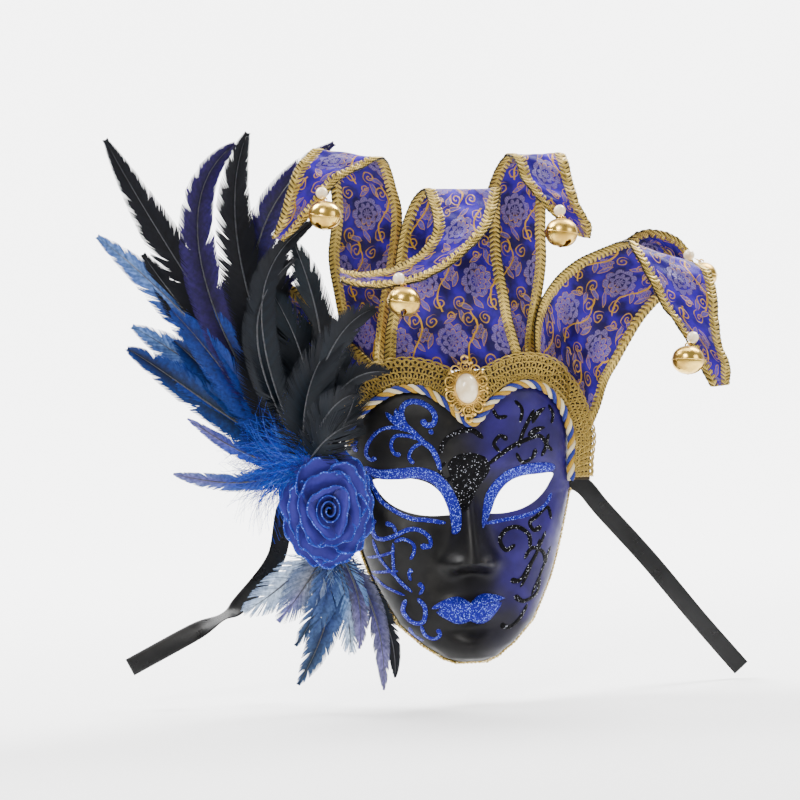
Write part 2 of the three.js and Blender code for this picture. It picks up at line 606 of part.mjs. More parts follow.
// Brow line as a curve on the brow's surface, moved outwards in the face's plane and forwards.
const browPlaces = browLine.length - 1;
function browPoint(place, outwards, forwards) {
  const spot = (k) => new THREE.Vector2(
    halfFace * along(browLine, 'side', k),
    browRise * along(browLine, 'up', k),
  );
  const here = spot(place);
  const run = spot(Math.min(place + 0.05, browPlaces)).sub(spot(Math.max(place - 0.05, 0))).normalize();
  const x = here.x - run.y * outwards;
  const z = here.y + run.x * outwards;
  return new THREE.Vector3(x, browBack(x, z), z).addScaledVector(browNormal(x, z), forwards);
}

// Lace band: from just outside the rope to its looped upper edge, over the horns' feet.
const bandShares = [
  { wide: 0.5 },
  { wide: 0.9 },
  { wide: 1.0 },
  { wide: 1.0 },
  { wide: 1.0 },
  { wide: 1.1 },
  { wide: 1.5 },
  { wide: 1.1 },
  { wide: 1.0 },
  { wide: 1.0 },
  { wide: 0.9 },
  { wide: 0.75 },
  { wide: 0.7 },
  { wide: 0.6 },
];
const bandStand = braidThick / 2 + 3 * clearance; // the band's back in front of the brow
function laceBand() {
  const rings = [];
  const spans = 34;
  for (let i = 0; i <= spans; i++) {
    const place = (browPlaces * i) / spans;
    const foot = browPoint(place, 0, 0);
    const start = (ropeRadius + 2 * clearance) * (1 + 1.2 * Math.abs(browNormal(foot.x, foot.z).x));
    const end = start + bandWidth * along(bandShares, 'wide', place);
    const front = [];
    const back = [];
    for (const out of [start, end]) {
      front.push(browPoint(place, out, bandStand + bandThick));
      back.unshift(browPoint(place, out, bandStand));
    }
    rings.push([...front, ...back]);
  }
  return loft(rings);
}
piece('crown_band', laceBand(), 0xa8915a, 0.5, 0.8);

// Twisted rope: three strands shown by a section whose lobes wind along the brow line.
function rope() {
  const centreAt = (place) => browPoint(place, 0, ropeRadius + 2 * clearance);
  let reach = 0;
  for (let i = 0; i < browPlaces; i++) {
    reach += centreAt(i).distanceTo(centreAt(i + 1));
  }
  const levels = Math.ceil((6 * reach) / ropePitch);
  const centres = [];
  for (let i = 0; i <= levels; i++) {
    centres.push(centreAt((browPlaces * i) / levels));
  }
  const rings = [];
  let run = 0;
  centres.forEach((centre, i) => {
    const next = centres[Math.min(i + 1, levels)];
    const before = centres[Math.max(i - 1, 0)];
    run += i ? centre.distanceTo(before) : 0;
    const tangent = next.clone().sub(before).normalize();
    const side = new THREE.Vector3(0, 1, 0).cross(tangent).normalize();
    const front = tangent.clone().cross(side);
    const ring = [];
    for (let k = 0; k < 6; k++) {
      const turn = (k * Math.PI) / 3 + (2 * Math.PI * run) / ropePitch;
      const radius = ropeRadius * (k % 2 ? 0.8 : 1);
      ring.push(centre.clone()
        .addScaledVector(side, radius * Math.cos(turn))
        .addScaledVector(front, radius * Math.sin(turn)));
    }
    rings.push(ring);
  });
  return loft(rings);
}
piece('rope_trim', rope(), 0xd9cfae, 0.6, 0);

// Rim trim: a thin braid on the shell's side edge from temple to temple under the chin.
function rimTrim() {
  const route = [];
  const levels = 18;
  const side = (sign) => (_, i) => {
    const z = -chinDrop * (i / levels) ** 0.7;
    const x = sign * outlineHalf(z);
    return new THREE.Vector3(x, faceBack(x, z), z);
  };
  const right = Array.from({ length: levels + 1 }, side(1));
  const left = Array.from({ length: levels + 1 }, side(-1)).reverse();
  route.push(...right, new THREE.Vector3(0, faceBack(0, -chinDrop), -chinDrop), ...left);
  const spans = route.length - 1;
  const rings = route.map((spot, i) => {
    const before = route[Math.max(i - 1, 0)];
    const next = route[Math.min(i + 1, spans)];
    const run = next.clone().sub(before).normalize();
    const out = new THREE.Vector3(-run.z, 0, run.x).normalize();
    const centre = spot.clone().addScaledVector(out, rimRadius + clearance);
    const across = run.clone().cross(out).normalize();
    return [0, 1, 2, 3].map((k) => {
      const turn = (k * Math.PI) / 2 + Math.PI / 4;
      return centre.clone()
        .addScaledVector(out, rimRadius * Math.cos(turn))
        .addScaledVector(across, rimRadius * Math.sin(turn));
    });
  });
  return loft(rings);
}
piece('rim_trim', rimTrim(), 0x9a8440, 0.5, 0.8);

// Brooch: a pierced plate of scrolls round an oval pearl, pinned over the band at the brow's dip.
const broochLow = browRise * 0.64;
const broochHigh = broochLow + broochHeight;
const lowBack = browBack(0, broochLow) - 2 * ropeRadius - 5 * clearance;
const highBack = browBack(0, broochHigh) - bandStand - bandThick - 2 * clearance;
const broochSeat = new THREE.Group();
broochSeat.position.set(0, (lowBack + highBack) / 2, (broochLow + broochHigh) / 2);
broochSeat.rotation.x = -Math.atan((highBack - lowBack) / broochHeight);
mask.add(broochSeat);
const broochLobes = 10;
function brooch() {
  const outline = [];
  const steps = broochLobes * 4;
  for (let i = 0; i < steps; i++) {
    const turn = (2 * Math.PI * i) / steps;
    const lobe = 0.9 + 0.1 * Math.abs(Math.sin((broochLobes * turn) / 2));
    const spade = 0.16 * gauss(Math.abs(Math.sin(turn)) - 1, 0.02);
    outline.push(new THREE.Vector2(
      (broochWidth / 2) * lobe * Math.cos(turn),
      (broochHeight / 2) * (lobe * 0.9 + spade) * Math.sin(turn),
    ));
  }
  const plate = new THREE.Shape(outline);
  for (let k = 0; k < broochLobes; k++) {
    const turn = (2 * Math.PI * (k + 0.5)) / broochLobes;
    const hole = new THREE.Path();
    const size = broochWidth * 0.065;
    const x = broochWidth * 0.385 * Math.cos(turn);
    const y = broochHeight * 0.345 * Math.sin(turn);
    hole.setFromPoints([...Array(6).keys()].map((j) => new THREE.Vector2(
      x + size * Math.cos((Math.PI * j) / 3),
      y + size * Math.sin((Math.PI * j) / 3),
    )));
    plate.holes.push(hole);
  }
  const geometry = new THREE.ExtrudeGeometry(plate, { depth: broochThick, bevelEnabled: false });
  geometry.rotateX(Math.PI / 2);
  return geometry;
}
broochSeat.add(piece('brooch_filigree', brooch(), 0xd9a93f, 0.3, 1));

function pearl() {
  const profile = [new THREE.Vector2(0, 0)];
  for (let k = 0; k <= 4; k++) {
    const turn = (k * Math.PI) / 8;
    profile.push(new THREE.Vector2(0.5 * Math.cos(turn), 0.4 * Math.sin(turn)));
  }
  profile[profile.length - 1].x = 0;
  const geometry = new THREE.LatheGeometry(profile, 14);
  geometry.rotateX(Math.PI);
  geometry.scale(pearlWidth, pearlWidth, pearlHeight);
  return outward(geometry);
}
const pearlMesh = piece('brooch_pearl', pearl(), 0xf3ecdc, 0.25, 0);
pearlMesh.position.y = -broochThick - clearance;
broochSeat.add(pearlMesh);

// Beads and bells: each bead sits on its horn, each hollow bell hangs under its bead by a shank.
function bell(aside, ahead, drop) {
  const top = new THREE.Vector3(0, 0, -bellWall);
  const bead = new THREE.Vector3(-aside, ahead, drop + beadRadius);
  const run = bead.clone().sub(top);
  const length = run.length() - beadRadius - clearance;
  const wire = new THREE.CylinderGeometry(wireRadius, wireRadius, length, 5);
  wire.translate(0, length / 2, 0);
  wire.applyQuaternion(new THREE.Quaternion().setFromUnitVectors(new THREE.Vector3(0, 1, 0), run.normalize()));
  wire.translate(0, 0, top.z);
  const outer = bellProfile.map((p) => new THREE.Vector2(bellRadius * p.out, bellHeight * (p.up - 1)));
  const inner = bellProfile.map((p) => new THREE.Vector2(
    Math.max(bellRadius * p.out - bellWall, 0.5),
    (bellHeight - 2 * bellWall) * (p.up - 0.5) - bellHeight / 2,
  ));
  const skin = [
    new THREE.Vector2(0, -bellHeight * 0.02),
    ...outer,
    new THREE.Vector2(0, -bellHeight),
  ];
  const hollow = [
    new THREE.Vector2(0, inner[0].y),
    ...inner,
    new THREE.Vector2(0, inner[inner.length - 1].y - bellWall / 2),
  ];
  const slot = new THREE.BoxGeometry(bellRadius * 1.3, bellWall * 2.4, bellHeight * 0.4);
  slot.translate(0, 0, -bellHeight);
  const upright = (profile) => outward(new THREE.LatheGeometry(profile, 10).rotateX(Math.PI / 2));
  const body = toSolid(upright(skin)).subtract(toSolid(upright(hollow))).subtract(toSolid(slot));
  return toGeometry(body.add(toSolid(wire)));
}

for (const spot of bells) {
  const horn = horns.find((h) => h.name === spot.horn);
  const seat = hornPoint(horn, spot.along, spot.across);
  let facing = hornNormal(horn, spot.along, spot.across);
  if (facing.y > 0) facing = facing.negate();
  const centre = seat.addScaledVector(facing, beadRadius + braidThick / 2 + clearance);
  piece(`bead_${spot.name}`, new THREE.SphereGeometry(beadRadius, 10, 6), 0xf1e8d8, 0.3, 0)
    .position.copy(centre);
  const [aside, ahead, drop] = [spot.aside, spot.ahead, spot.drop].map((share) => share * bellRadius);
  piece(`bell_${spot.name}`, bell(aside, ahead, drop), 0xc9a34a, 0.25, 1)
    .position.set(centre.x + aside, centre.y - ahead, centre.z - beadRadius - drop);
}

// Rose: three rounds of cupped petals fused round a bud, over the right temple's edge.
const roseCentre = new THREE.Vector3(-1.23 * halfFace, 0.02 * faceDepth, -0.03 * chinDrop);
const roseRounds = [
  { petals: 5, from: 0.2, to: 1.0, lift: 0.1, cup: 0.25, broad: 1.0, turn: 0 },
  { petals: 4, from: 0.12, to: 0.72, lift: 0.35, cup: 0.35, broad: 0.85, turn: 35 },
  { petals: 3, from: 0.06, to: 0.44, lift: 0.7, cup: 0.5, broad: 0.6, turn: 10 },
];
function petal(round, angle) {
  const rings = [];
  for (let i = 0; i <= 3; i++) {
    const t = i / 3;
    const radius = roseRadius * lerp(round.from, round.to, t);
    const height = roseDepth * (round.lift + round.cup * t * t * (1.2 - t * 0.5)) * (t < 1 ? 1 : 0.94);
    const spread = (roseRadius * round.broad * 0.5 * (0.35 + 0.65 * Math.sin(Math.PI * (0.2 + 0.62 * t))));
    const front = [];
    const back = [];
    for (let k = -1; k <= 1; k++) {
      const cup = height + roseDepth * 0.1 * k * k;
      const point = new THREE.Vector3(radius * (1 - 0.08 * k * k), -cup, spread * k);
      front.push(point);
      back.unshift(point.clone().add(new THREE.Vector3(0, 1.4, 0)));
    }
    rings.push([...front, ...back]);
  }
  const geometry = loft(rings);
  geometry.rotateY(degToRad(angle));
  return geometry;
}
function rose() {
  const bud = new THREE.SphereGeometry(1, 8, 6);
  bud.scale(roseRadius * 0.28, roseDepth * 0.5, roseRadius * 0.28);
  bud.translate(0, -roseDepth * 0.5, 0);
  const base = new THREE.CylinderGeometry(roseRadius * 0.45, roseRadius * 0.45, roseDepth * 0.3, 12);
  base.translate(0, -roseDepth * 0.15, 0);
  const parts = [bud, base];
  for (const round of roseRounds) {
    for (let k = 0; k < round.petals; k++) {
      parts.push(petal(round, round.turn + (360 * k) / round.petals));
    }
  }
  const whole = fuse(parts);
  whole.scale(1, 1, roseStretch);
  return whole;
}
piece('rose', rose(), 0x2b35b8, 0.7, 0).position.copy(roseCentre);

// Feather blades: a flat tapering body along a curve, widest past its middle, pointed at its tip.
function blade(root, plume, reach, rise) {
  const at = ([side, up], ahead) => new THREE.Vector3(
    root.x + side * reach,
    root.y - ahead * plumeBulge,
    root.z + up * rise,
  );
  const path = new THREE.CubicBezierCurve3(
    at([0, 0], 0),
    at(plume.b1, plume.ahead * 0.6),
    at(plume.b2, plume.ahead),
    at(plume.tip, plume.ahead),
  );
  const spans = 6;
  const rings = [];
  for (let i = 0; i <= spans; i++) {
    const t = i / spans;
    const run = path.getTangent(t);
    const side = new THREE.Vector3(0, 1, 0).cross(run).normalize();
    const swell = Math.sin(Math.PI * Math.min(0.1 + 0.88 * t ** 0.8, 1)) ** 0.7;
    const wide = plumeBroad * plume.broad * 0.5 * Math.max(0.06, swell);
    const thick = plumeThick * 0.5 * lerp(1, 0.4, t);
    const centre = path.getPoint(t);
    const depth = new THREE.Vector3(0, thick, 0);
    rings.push([
      centre.clone().addScaledVector(side, wide),
      centre.clone().add(depth),
      centre.clone().addScaledVector(side, -wide),
      centre.clone().sub(depth),
    ]);
  }
  return loft(rings);
}

// Felt pads right behind the rose; the upper one reaches back to the shell's temple.
const feltMiddle = roseCentre.y + clearance + feltThick / 2;
const upperRoot = new THREE.Vector3(-0.36 * roseRadius, 0, 0.89 * roseRadius).add(roseCentre);
const lowerRoot = new THREE.Vector3(0.11 * roseRadius, 0, -0.72 * roseRadius).add(roseCentre);
upperRoot.y = feltMiddle;
lowerRoot.y = feltMiddle + feltThick + clearance;

function feltPad(x, y, z, wide, tall) {
  const pad = new THREE.CylinderGeometry(1, 1, feltThick, 16);
  pad.scale(wide, 1, tall);
  return pad.translate(x, y, z);
}

function templeTab() {
  const rings = [0.94, 0.9, 0.86].map((share) => {
    const x = -share * halfFace;
    const [top, low] = [0.07 * browRise, -0.05 * chinDrop];
    const back = (z) => faceBack(x, z) - 4.5 * clearance;
    return [
      new THREE.Vector3(x, feltMiddle, top),
      new THREE.Vector3(x, back(top), top),
      new THREE.Vector3(x, back(low), low),
      new THREE.Vector3(x, feltMiddle, low),
    ];
  });
  return loft(rings);
}

function spray(root, plumes, rise, pads) {
  return fuse([...pads, ...plumes.map((plume) => blade(root, plume, plumeReach, rise))]);
}
const upperPad = feltPad(roseCentre.x, feltMiddle, roseCentre.z + 0.2 * roseRadius, 0.8 * roseRadius, 0.95 * roseRadius);
const lowerPad = feltPad(lowerRoot.x, lowerRoot.y, lowerRoot.z, 0.28 * roseRadius, 0.28 * roseRadius);
piece('feathers_upper', spray(upperRoot, upperPlumes, plumeRise, [upperPad, templeTab()]), 0x10142e, 0.6, 0);
piece('feathers_lower', spray(lowerRoot, lowerPlumes, plumeDrop, [lowerPad]), 0x3a4d80, 0.6, 0);

// Ribbons: flat strips from behind the temples' edges to their cut ends.
const ribbonBack = faceDepth + shellWall / 2 + ribbonThick / 2 + clearance;
function ribbon(strip) {
  const levels = 14;
  const last = strip.rows.length - 1;
  const spot = (place) => new THREE.Vector3(
    strip.side * (0.965 * halfFace + strip.reach * along(strip.rows, 'side', place)),
    ribbonBack,
    0.09 * browRise - strip.fall * along(strip.rows, 'down', place),
  );
  const rings = [];
  for (let i = 0; i <= levels; i++) {
    const place = (last * i) / levels;
    const centre = spot(place);
    const run = spot(Math.min(place + 0.1, last)).sub(spot(Math.max(place - 0.1, 0))).normalize();
    const across = run.clone().cross(new THREE.Vector3(0, 1, 0)).normalize();
    const side = across.clone().applyAxisAngle(run, degToRad(along(strip.rows, 'turn', place)));
    const depth = run.clone().cross(side).multiplyScalar(ribbonThick / 2);
    side.multiplyScalar(ribbonWidth / 2);
    rings.push([
      centre.clone().add(side).add(depth),
      centre.clone().sub(side).add(depth),
      centre.clone().sub(side).sub(depth),
      centre.clone().add(side).sub(depth),
    ]);
  }
  return loft(rings);
}
piece('ribbon_right', ribbon(ribbonRight), 0x0b0b0c, 0.35, 0);
piece('ribbon_left', ribbon(ribbonLeft), 0x0b0b0c, 0.35, 0);

export default mask;
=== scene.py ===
import math
import random

import bmesh
import bpy
from mathutils import Matrix, Vector, noise


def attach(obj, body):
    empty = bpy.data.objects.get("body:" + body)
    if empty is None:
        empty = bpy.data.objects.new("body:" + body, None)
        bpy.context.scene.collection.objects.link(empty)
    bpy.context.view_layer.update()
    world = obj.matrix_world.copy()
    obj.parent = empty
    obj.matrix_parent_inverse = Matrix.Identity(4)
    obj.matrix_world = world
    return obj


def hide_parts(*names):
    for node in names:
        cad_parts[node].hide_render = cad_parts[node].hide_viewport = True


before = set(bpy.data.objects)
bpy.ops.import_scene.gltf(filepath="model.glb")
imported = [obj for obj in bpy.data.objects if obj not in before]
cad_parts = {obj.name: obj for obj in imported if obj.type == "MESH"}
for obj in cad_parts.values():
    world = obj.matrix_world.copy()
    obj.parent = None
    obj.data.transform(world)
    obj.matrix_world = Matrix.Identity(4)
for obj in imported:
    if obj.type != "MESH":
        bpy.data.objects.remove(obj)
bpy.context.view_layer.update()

# Face shell: a full-face mask of layered paper pulp on a mould, painted satin black on one half and
# deep indigo on the other and left bare and rough inside. The outer skin is laid over the face's
# levels, gets its wall and then has the eye holes cut through it.
mm = 0.001
face_width = 174
chin_drop = 124
brow_rise = 88
face_depth = 46
shell_wall = 2
nose_length = 52
nose_height = 0.44 * nose_length
half_face = face_width / 2


def table(columns, rows):
    names = columns.split()
    return [dict(zip(names, row)) for row in rows]


face_rows = table("up half edge mid", [
    (-1.0, 0.14, 0.06, 0.0),
    (-0.975, 0.24, 0.14, -0.12),
    (-0.9, 0.4, 0.28, -0.19),
    (-0.78, 0.59, 0.5, -0.17),
    (-0.53, 0.78, 0.76, -0.1),
    (-0.25, 0.91, 0.92, -0.04),
    (0.05, 1.0, 1.0, -0.02),
    (0.45, 0.99, 1.0, -0.1),
    (0.7, 0.92, 1.03, -0.07),
    (0.88, 0.79, 1.1, 0.03),
    (0.97, 0.67, 1.15, 0.1),
    (1.0, 0.52, 1.18, 0.14),
])
face_bumps = table("side up wide tall lift", [
    (0.5, 0.0, 0.3, 0.15, -0.16),  # socket
    (0.44, 0.21, 0.32, 0.09, 0.07),  # brow
    (0.6, -0.27, 0.24, 0.17, 0.1),  # cheekbone
    (0.16, -0.41, 0.08, 0.055, 0.17),  # nostril
    (0.0, -0.67, 0.32, 0.15, 0.1),  # mouth
    (0.1, -0.635, 0.13, 0.035, 0.08),  # upper lip
    (0.0, -0.71, 0.17, 0.045, 0.1),  # lower lip
    (0.0, -0.8, 0.17, 0.04, -0.06),  # chin dip
    (0.0, -0.9, 0.2, 0.09, 0.13),  # chin
])


def clamp(value, low=0.0, high=1.0):
    return max(low, min(high, value))


def lerp(a, b, t):
    return a + (b - a) * t


def smoothstep(value, low, high):
    t = clamp((value - low) / (high - low))
    return t * t * (3 - 2 * t)


def gauss(distance, size):
    return math.exp(-((distance / size) ** 2))


def along(rows, key, place):
    last = len(rows) - 1
    i = int(clamp(math.floor(place), 0, last - 1))
    t = place - i
    a, b, c, d = (rows[int(clamp(k, 0, last))][key] for k in (i - 1, i, i + 1, i + 2))
    return b + 0.5 * t * (c - a + t * (2 * a - 5 * b + 4 * c - d + t * (3 * (b - c) + d - a)))


def place_of(rows, key, value):
    found = next((k for k in range(1, len(rows)) if rows[k][key] >= value), len(rows) - 1)
    low = rows[found - 1][key]
    return found - 1 + clamp((value - low) / (rows[found][key] - low))


def face_place(z):
    return place_of(face_rows, "up", z / chin_drop if z < 0 else z / brow_rise)


def outline_half(z):
    return half_face * along(face_rows, "half", face_place(z))


def nose_lift(x, z):
    run = clamp((0.1 * nose_length - z) / nose_length)
    tip = 1 - smoothstep(-z, nose_length * 0.9, nose_length * 1.12)
    wide = nose_length * (0.12 + 0.16 * run ** 1.5)
    start = smoothstep(-z, -0.3 * nose_length, 0.1 * nose_length)
    return nose_height * (0.16 + 0.84 * run ** 1.1) * start * tip * math.exp(-(abs(x / wide) ** 2.3))


def face_back(x, z):
    place = face_place(z)
    mid = face_depth * along(face_rows, "mid", place)
    edge = face_depth * along(face_rows, "edge", place)
    full = outline_half(z) if z < 0 else half_face
    share = min(abs(x) / full, 1)
    back = mid + (edge - mid) * (1 - math.sqrt(max(0, 1 - share ** 2.2)))
    rim = 1 - smoothstep(share, 0.8, 1)
    if rim > 0:
        for bump in face_bumps:
            up = gauss(z - bump["up"] * chin_drop, bump["tall"] * chin_drop)
            for sign in ((-1, 1) if bump["side"] else (1,)):
                side = gauss(x - sign * bump["side"] * half_face, bump["wide"] * half_face)
                back -= face_depth * bump["lift"] * up * side * rim
    return back - nose_lift(x, z) * rim


def lay_grid(mesh, columns, rows, place, measure=None):
    """Adds a grid of cells to mesh, each corner moved to place(a, b) in millimetres."""
    layer = mesh.loops.layers.uv.verify()
    made = bmesh.ops.create_grid(mesh, x_segments=columns, y_segments=rows, size=0.5)["verts"]
    uv = {}
    for corner in made:
        a, b = corner.co.x + 0.5, corner.co.y + 0.5
        corner.co = Vector(place(a, b)) * mm
        uv[corner] = measure(a, b) if measure else (a, b)
    for face in {f for corner in made for f in corner.link_faces}:
        for loop in face.loops:
            loop[layer].uv = uv[loop.vert]
    return made


def finish_piece(name, mesh, materials, replaced=(), crease=50):
    """Turns a bmesh into a finished, shaded piece that stands for the named solids."""
    data = bpy.data.meshes.new(name)
    mesh.to_mesh(data)
    mesh.free()
    data.shade_smooth()
    data.set_sharp_from_angle(angle=math.radians(crease))
    piece = bpy.data.objects.new(name, data)
    bpy.context.scene.collection.objects.link(piece)
    for material in materials:
        data.materials.append(material)
    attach(piece, "root")
    if replaced:
        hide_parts(*replaced)
    return piece


def add_wall(piece, thick, offset, back_material=0):
    wall = piece.modifiers.new("wall", "SOLIDIFY")
    wall.thickness = thick * mm
    wall.offset = offset
    wall.use_even_offset = False
    wall.material_offset = back_material
    wall.material_offset_rim = back_material
    return wall


class Reading:
    """A number that changes over a surface, joined to others with + - * / and powers."""

    def __init__(self, tree, socket):
        self.tree = tree
        self.socket = socket

    def op(self, kind, *others):
        node = self.tree.nodes.new("ShaderNodeMath")
        node.operation = kind
        for pin, value in zip(node.inputs, (self, *others)):
            if isinstance(value, Reading):
                self.tree.links.new(value.socket, pin)
            else:
                pin.default_value = value
        return Reading(self.tree, node.outputs[0])

    def __add__(self, other):
        return self.op("ADD", other)

    def __sub__(self, other):
        return self.op("SUBTRACT", other)

    def __mul__(self, other):
        return self.op("MULTIPLY", other)

    def __truediv__(self, other):
        return self.op("DIVIDE", other)

    def __neg__(self):
        return self.op("MULTIPLY", -1.0)

    def size(self):
        return self.op("ABSOLUTE")

    def sin(self):
        return self.op("SINE")

    def part(self):
        return self.op("FRACT")

    def most(self, other):
        return self.op("MAXIMUM", other)

    def least(self, other):
        return self.op("MINIMUM", other)

    def ramp(self, low, high, bottom=0.0, top=1.0):
        node = self.tree.nodes.new("ShaderNodeMapRange")
        node.interpolation_type = "SMOOTHSTEP"
        self.tree.links.new(self.socket, node.inputs["Value"])
        for pin, value in zip(("From Min", "From Max", "To Min", "To Max"), (low, high, bottom, top)):
            node.inputs[pin].default_value = value
        return Reading(self.tree, node.outputs["Result"])


def split(tree, socket):
    node = tree.nodes.new("ShaderNodeSeparateXYZ")
    tree.links.new(socket, node.inputs[0])
    return [Reading(tree, node.outputs[k]) for k in range(3)]


def object_place(tree):
    return tree.nodes.new("ShaderNodeTexCoord").outputs["Object"]


def uv_place(tree):
    return tree.nodes.new("ShaderNodeTexCoord").outputs["UV"]


def speckle(tree, place, scale, detail=3.0, kind="Noise"):
    node = tree.nodes.new("ShaderNodeTex" + kind)
    tree.links.new(place, node.inputs["Vector"])
    node.inputs["Scale"].default_value = scale
    if kind == "Noise":
        node.inputs["Detail"].default_value = detail
        return Reading(tree, node.outputs["Fac"])
    return Reading(tree, node.outputs["Distance"])


def tint(tree, share, first, second):
    """Colour between first and second by share; each is a colour or a socket."""
    node = tree.nodes.new("ShaderNodeMix")
    node.data_type = "RGBA"
    if isinstance(share, Reading):
        tree.links.new(share.socket, node.inputs["Factor"])
    else:
        node.inputs["Factor"].default_value = share
    for pin, colour in zip((node.inputs[6], node.inputs[7]), (first, second)):
        if isinstance(colour, tuple):
            pin.default_value = (*colour, 1.0)
        else:
            tree.links.new(colour, pin)
    return node.outputs[2]


def emboss(tree, height, strength, distance, normal=None):
    node = tree.nodes.new("ShaderNodeBump")
    node.inputs["Strength"].default_value = strength
    node.inputs["Distance"].default_value = distance
    tree.links.new(height.socket, node.inputs["Height"])
    if normal is not None:
        tree.links.new(normal, node.inputs["Normal"])
    return node.outputs["Normal"]


def new_finish(name, roughness, metallic=0.0, **settings):
    """An empty material with its shader's steady numbers set on the shader's own sockets."""
    material = bpy.data.materials.new(name)
    material.use_nodes = True
    tree = material.node_tree
    shader = tree.nodes["Principled BSDF"]
    shader.inputs["Roughness"].default_value = roughness
    shader.inputs["Metallic"].default_value = metallic
    for key, value in settings.items():
        shader.inputs[key.replace("_", " ")].default_value = value
    return material, tree, shader


def feed(tree, shader, **sources):
    for key, source in sources.items():
        pin = shader.inputs[key.replace("_", " ")]
        tree.links.new(source.socket if isinstance(source, Reading) else source, pin)


def new_effect(name, inputs, outputs):
    """A shader group with named inputs and outputs, built once and placed in several finishes."""
    group = bpy.data.node_groups.new(name, "ShaderNodeTree")
    for label, kind, value in inputs:
        pin = group.interface.new_socket(name=label, in_out="INPUT", socket_type=kind)
        if value is not None:
            pin.default_value = value
    for label, kind in outputs:
        group.interface.new_socket(name=label, in_out="OUTPUT", socket_type=kind)
    return group, group.nodes.new("NodeGroupInput"), group.nodes.new("NodeGroupOutput")


def place_effect(tree, group, **values):
    node = tree.nodes.new("ShaderNodeGroup")
    node.node_tree = group
    for key, value in values.items():
        pin = node.inputs[key.replace("_", " ")]
        if isinstance(value, Reading):
            tree.links.new(value.socket, pin)
        elif isinstance(value, bpy.types.NodeSocket):
            tree.links.new(value, pin)
        else:
            pin.default_value = value
    return node


face_paint, tree, shader = new_finish("face_paint", 0.45, Specular_IOR_Level=0.18)
where = object_place(tree)
x, y, z = split(tree, where)
brush = speckle(tree, where, 22.0, 4.0)
drift = (brush - 0.5) * 0.05
halves = (x + drift).ramp(-0.012, 0.03)
middle = (x.size() + drift * 0.6).ramp(0.008, 0.034, 1.0, 0.0) * (z + drift).ramp(0.035, 0.0)
chin = (z + drift).ramp(-0.075, -0.1)
dark = middle.most(chin)
left_half = tint(
    tree, speckle(tree, where, 55.0, 5.0).ramp(0.45, 0.7), (0.0025, 0.0024, 0.0026), (0.008, 0.0075, 0.007),
)
right_half = tint(
    tree, speckle(tree, where, 40.0, 5.0).ramp(0.35, 0.7), (0.007, 0.003, 0.05), (0.015, 0.007, 0.1),
)
painted = tint(tree, halves, left_half, right_half)
painted = tint(tree, dark * 0.85, painted, (0.0022, 0.002, 0.0024))
grain = speckle(tree, where, 700.0, 2.0) * 0.35 + speckle(tree, where, 150.0, 3.0)
feed(
    tree, shader, Base_Color=painted, Normal=emboss(tree, grain, 0.25, 0.0004),
    Roughness=speckle(tree, where, 90.0, 4.0).ramp(0.3, 0.7, 0.38, 0.54),
)

bare_pulp, tree, shader = new_finish("bare_pulp", 0.85)
where = object_place(tree)
pulp = speckle(tree, where, 260.0, 6.0)
stain = speckle(tree, where, 18.0, 3.0).ramp(0.4, 0.65)
feed(
    tree, shader,
    Base_Color=tint(
        tree, pulp.ramp(0.3, 0.7), (0.05, 0.048, 0.052), tint(tree, stain, (0.09, 0.085, 0.09), (0.14, 0.13, 0.13)),
    ),
    Normal=emboss(tree, pulp, 0.6, 0.0006),
)

skin = bmesh.new()


def skin_place(a, b):
    z = lerp(-chin_drop, brow_rise, 0.75 * b + 0.25 * (0.5 - 0.5 * math.cos(math.pi * b)))
    s = 2 * a - 1
    x = outline_half(z) * (0.55 * s + 0.45 * math.sin(math.pi / 2 * s))
    return x, face_back(x, z), z


lay_grid(skin, 112, 140, skin_place)
bmesh.ops.recalc_face_normals(skin, faces=skin.faces)
if sum((f.normal.y for f in skin.faces)) > 0:
    bmesh.ops.reverse_faces(skin, faces=skin.faces)
shell = finish_piece("painted_face", skin, [face_paint, bare_pulp], ["face_shell"], 60)
add_wall(shell, shell_wall, -1, 1).material_offset_rim = 0

eye_width = 56
eye_height = 28
eye_inner = 13
eye_sill = -13
eye_outline = [
    (0.0, 0.0), (0.03, 0.3), (0.13, 0.6), (0.28, 0.85), (0.5, 0.99), (0.78, 1.0),
    (1.0, 0.97), (0.96, 0.74), (0.86, 0.46), (0.72, 0.23), (0.52, 0.06), (0.27, -0.02),
]
eye_rows = table("out up", eye_outline + eye_outline[:1])
cutter = bmesh.new()
for sign in (-1, 1):
    rim = []
    for k in range(48):
        step = k / 4
        out, up = along(eye_rows, "out", step), along(eye_rows, "up", step)
        spot = (sign * (eye_inner + eye_width * out), -2 * face_depth, eye_sill + eye_height * up)
        rim.append(cutter.verts.new(Vector(spot) * mm))
    front = cutter.faces.new(rim)
    pushed = bmesh.ops.extrude_face_region(cutter, geom=[front])["geom"]
    moved = [g for g in pushed if isinstance(g, bmesh.types.BMVert)]
    bmesh.ops.translate(cutter, verts=moved, vec=Vector((0, 4 * face_depth * mm, 0)))
bmesh.ops.recalc_face_normals(cutter, faces=cutter.faces)
knife_data = bpy.data.meshes.new("eye_knife")
cutter.to_mesh(knife_data)
cutter.free()
knife = bpy.data.objects.new("eye_knife", knife_data)
bpy.context.scene.collection.objects.link(knife)
cut = shell.modifiers.new("eyes", "BOOLEAN")
cut.operation = "DIFFERENCE"
cut.object = knife
cut.solver = "EXACT"
held = bpy.context.evaluated_depsgraph_get()
cut_skin = bpy.data.meshes.new_from_object(shell.evaluated_get(held))
shell.modifiers.clear()
shell.data = cut_skin
cut_skin.shade_smooth()
cut_skin.set_sharp_from_angle(angle=math.radians(45))
bpy.data.objects.remove(knife)

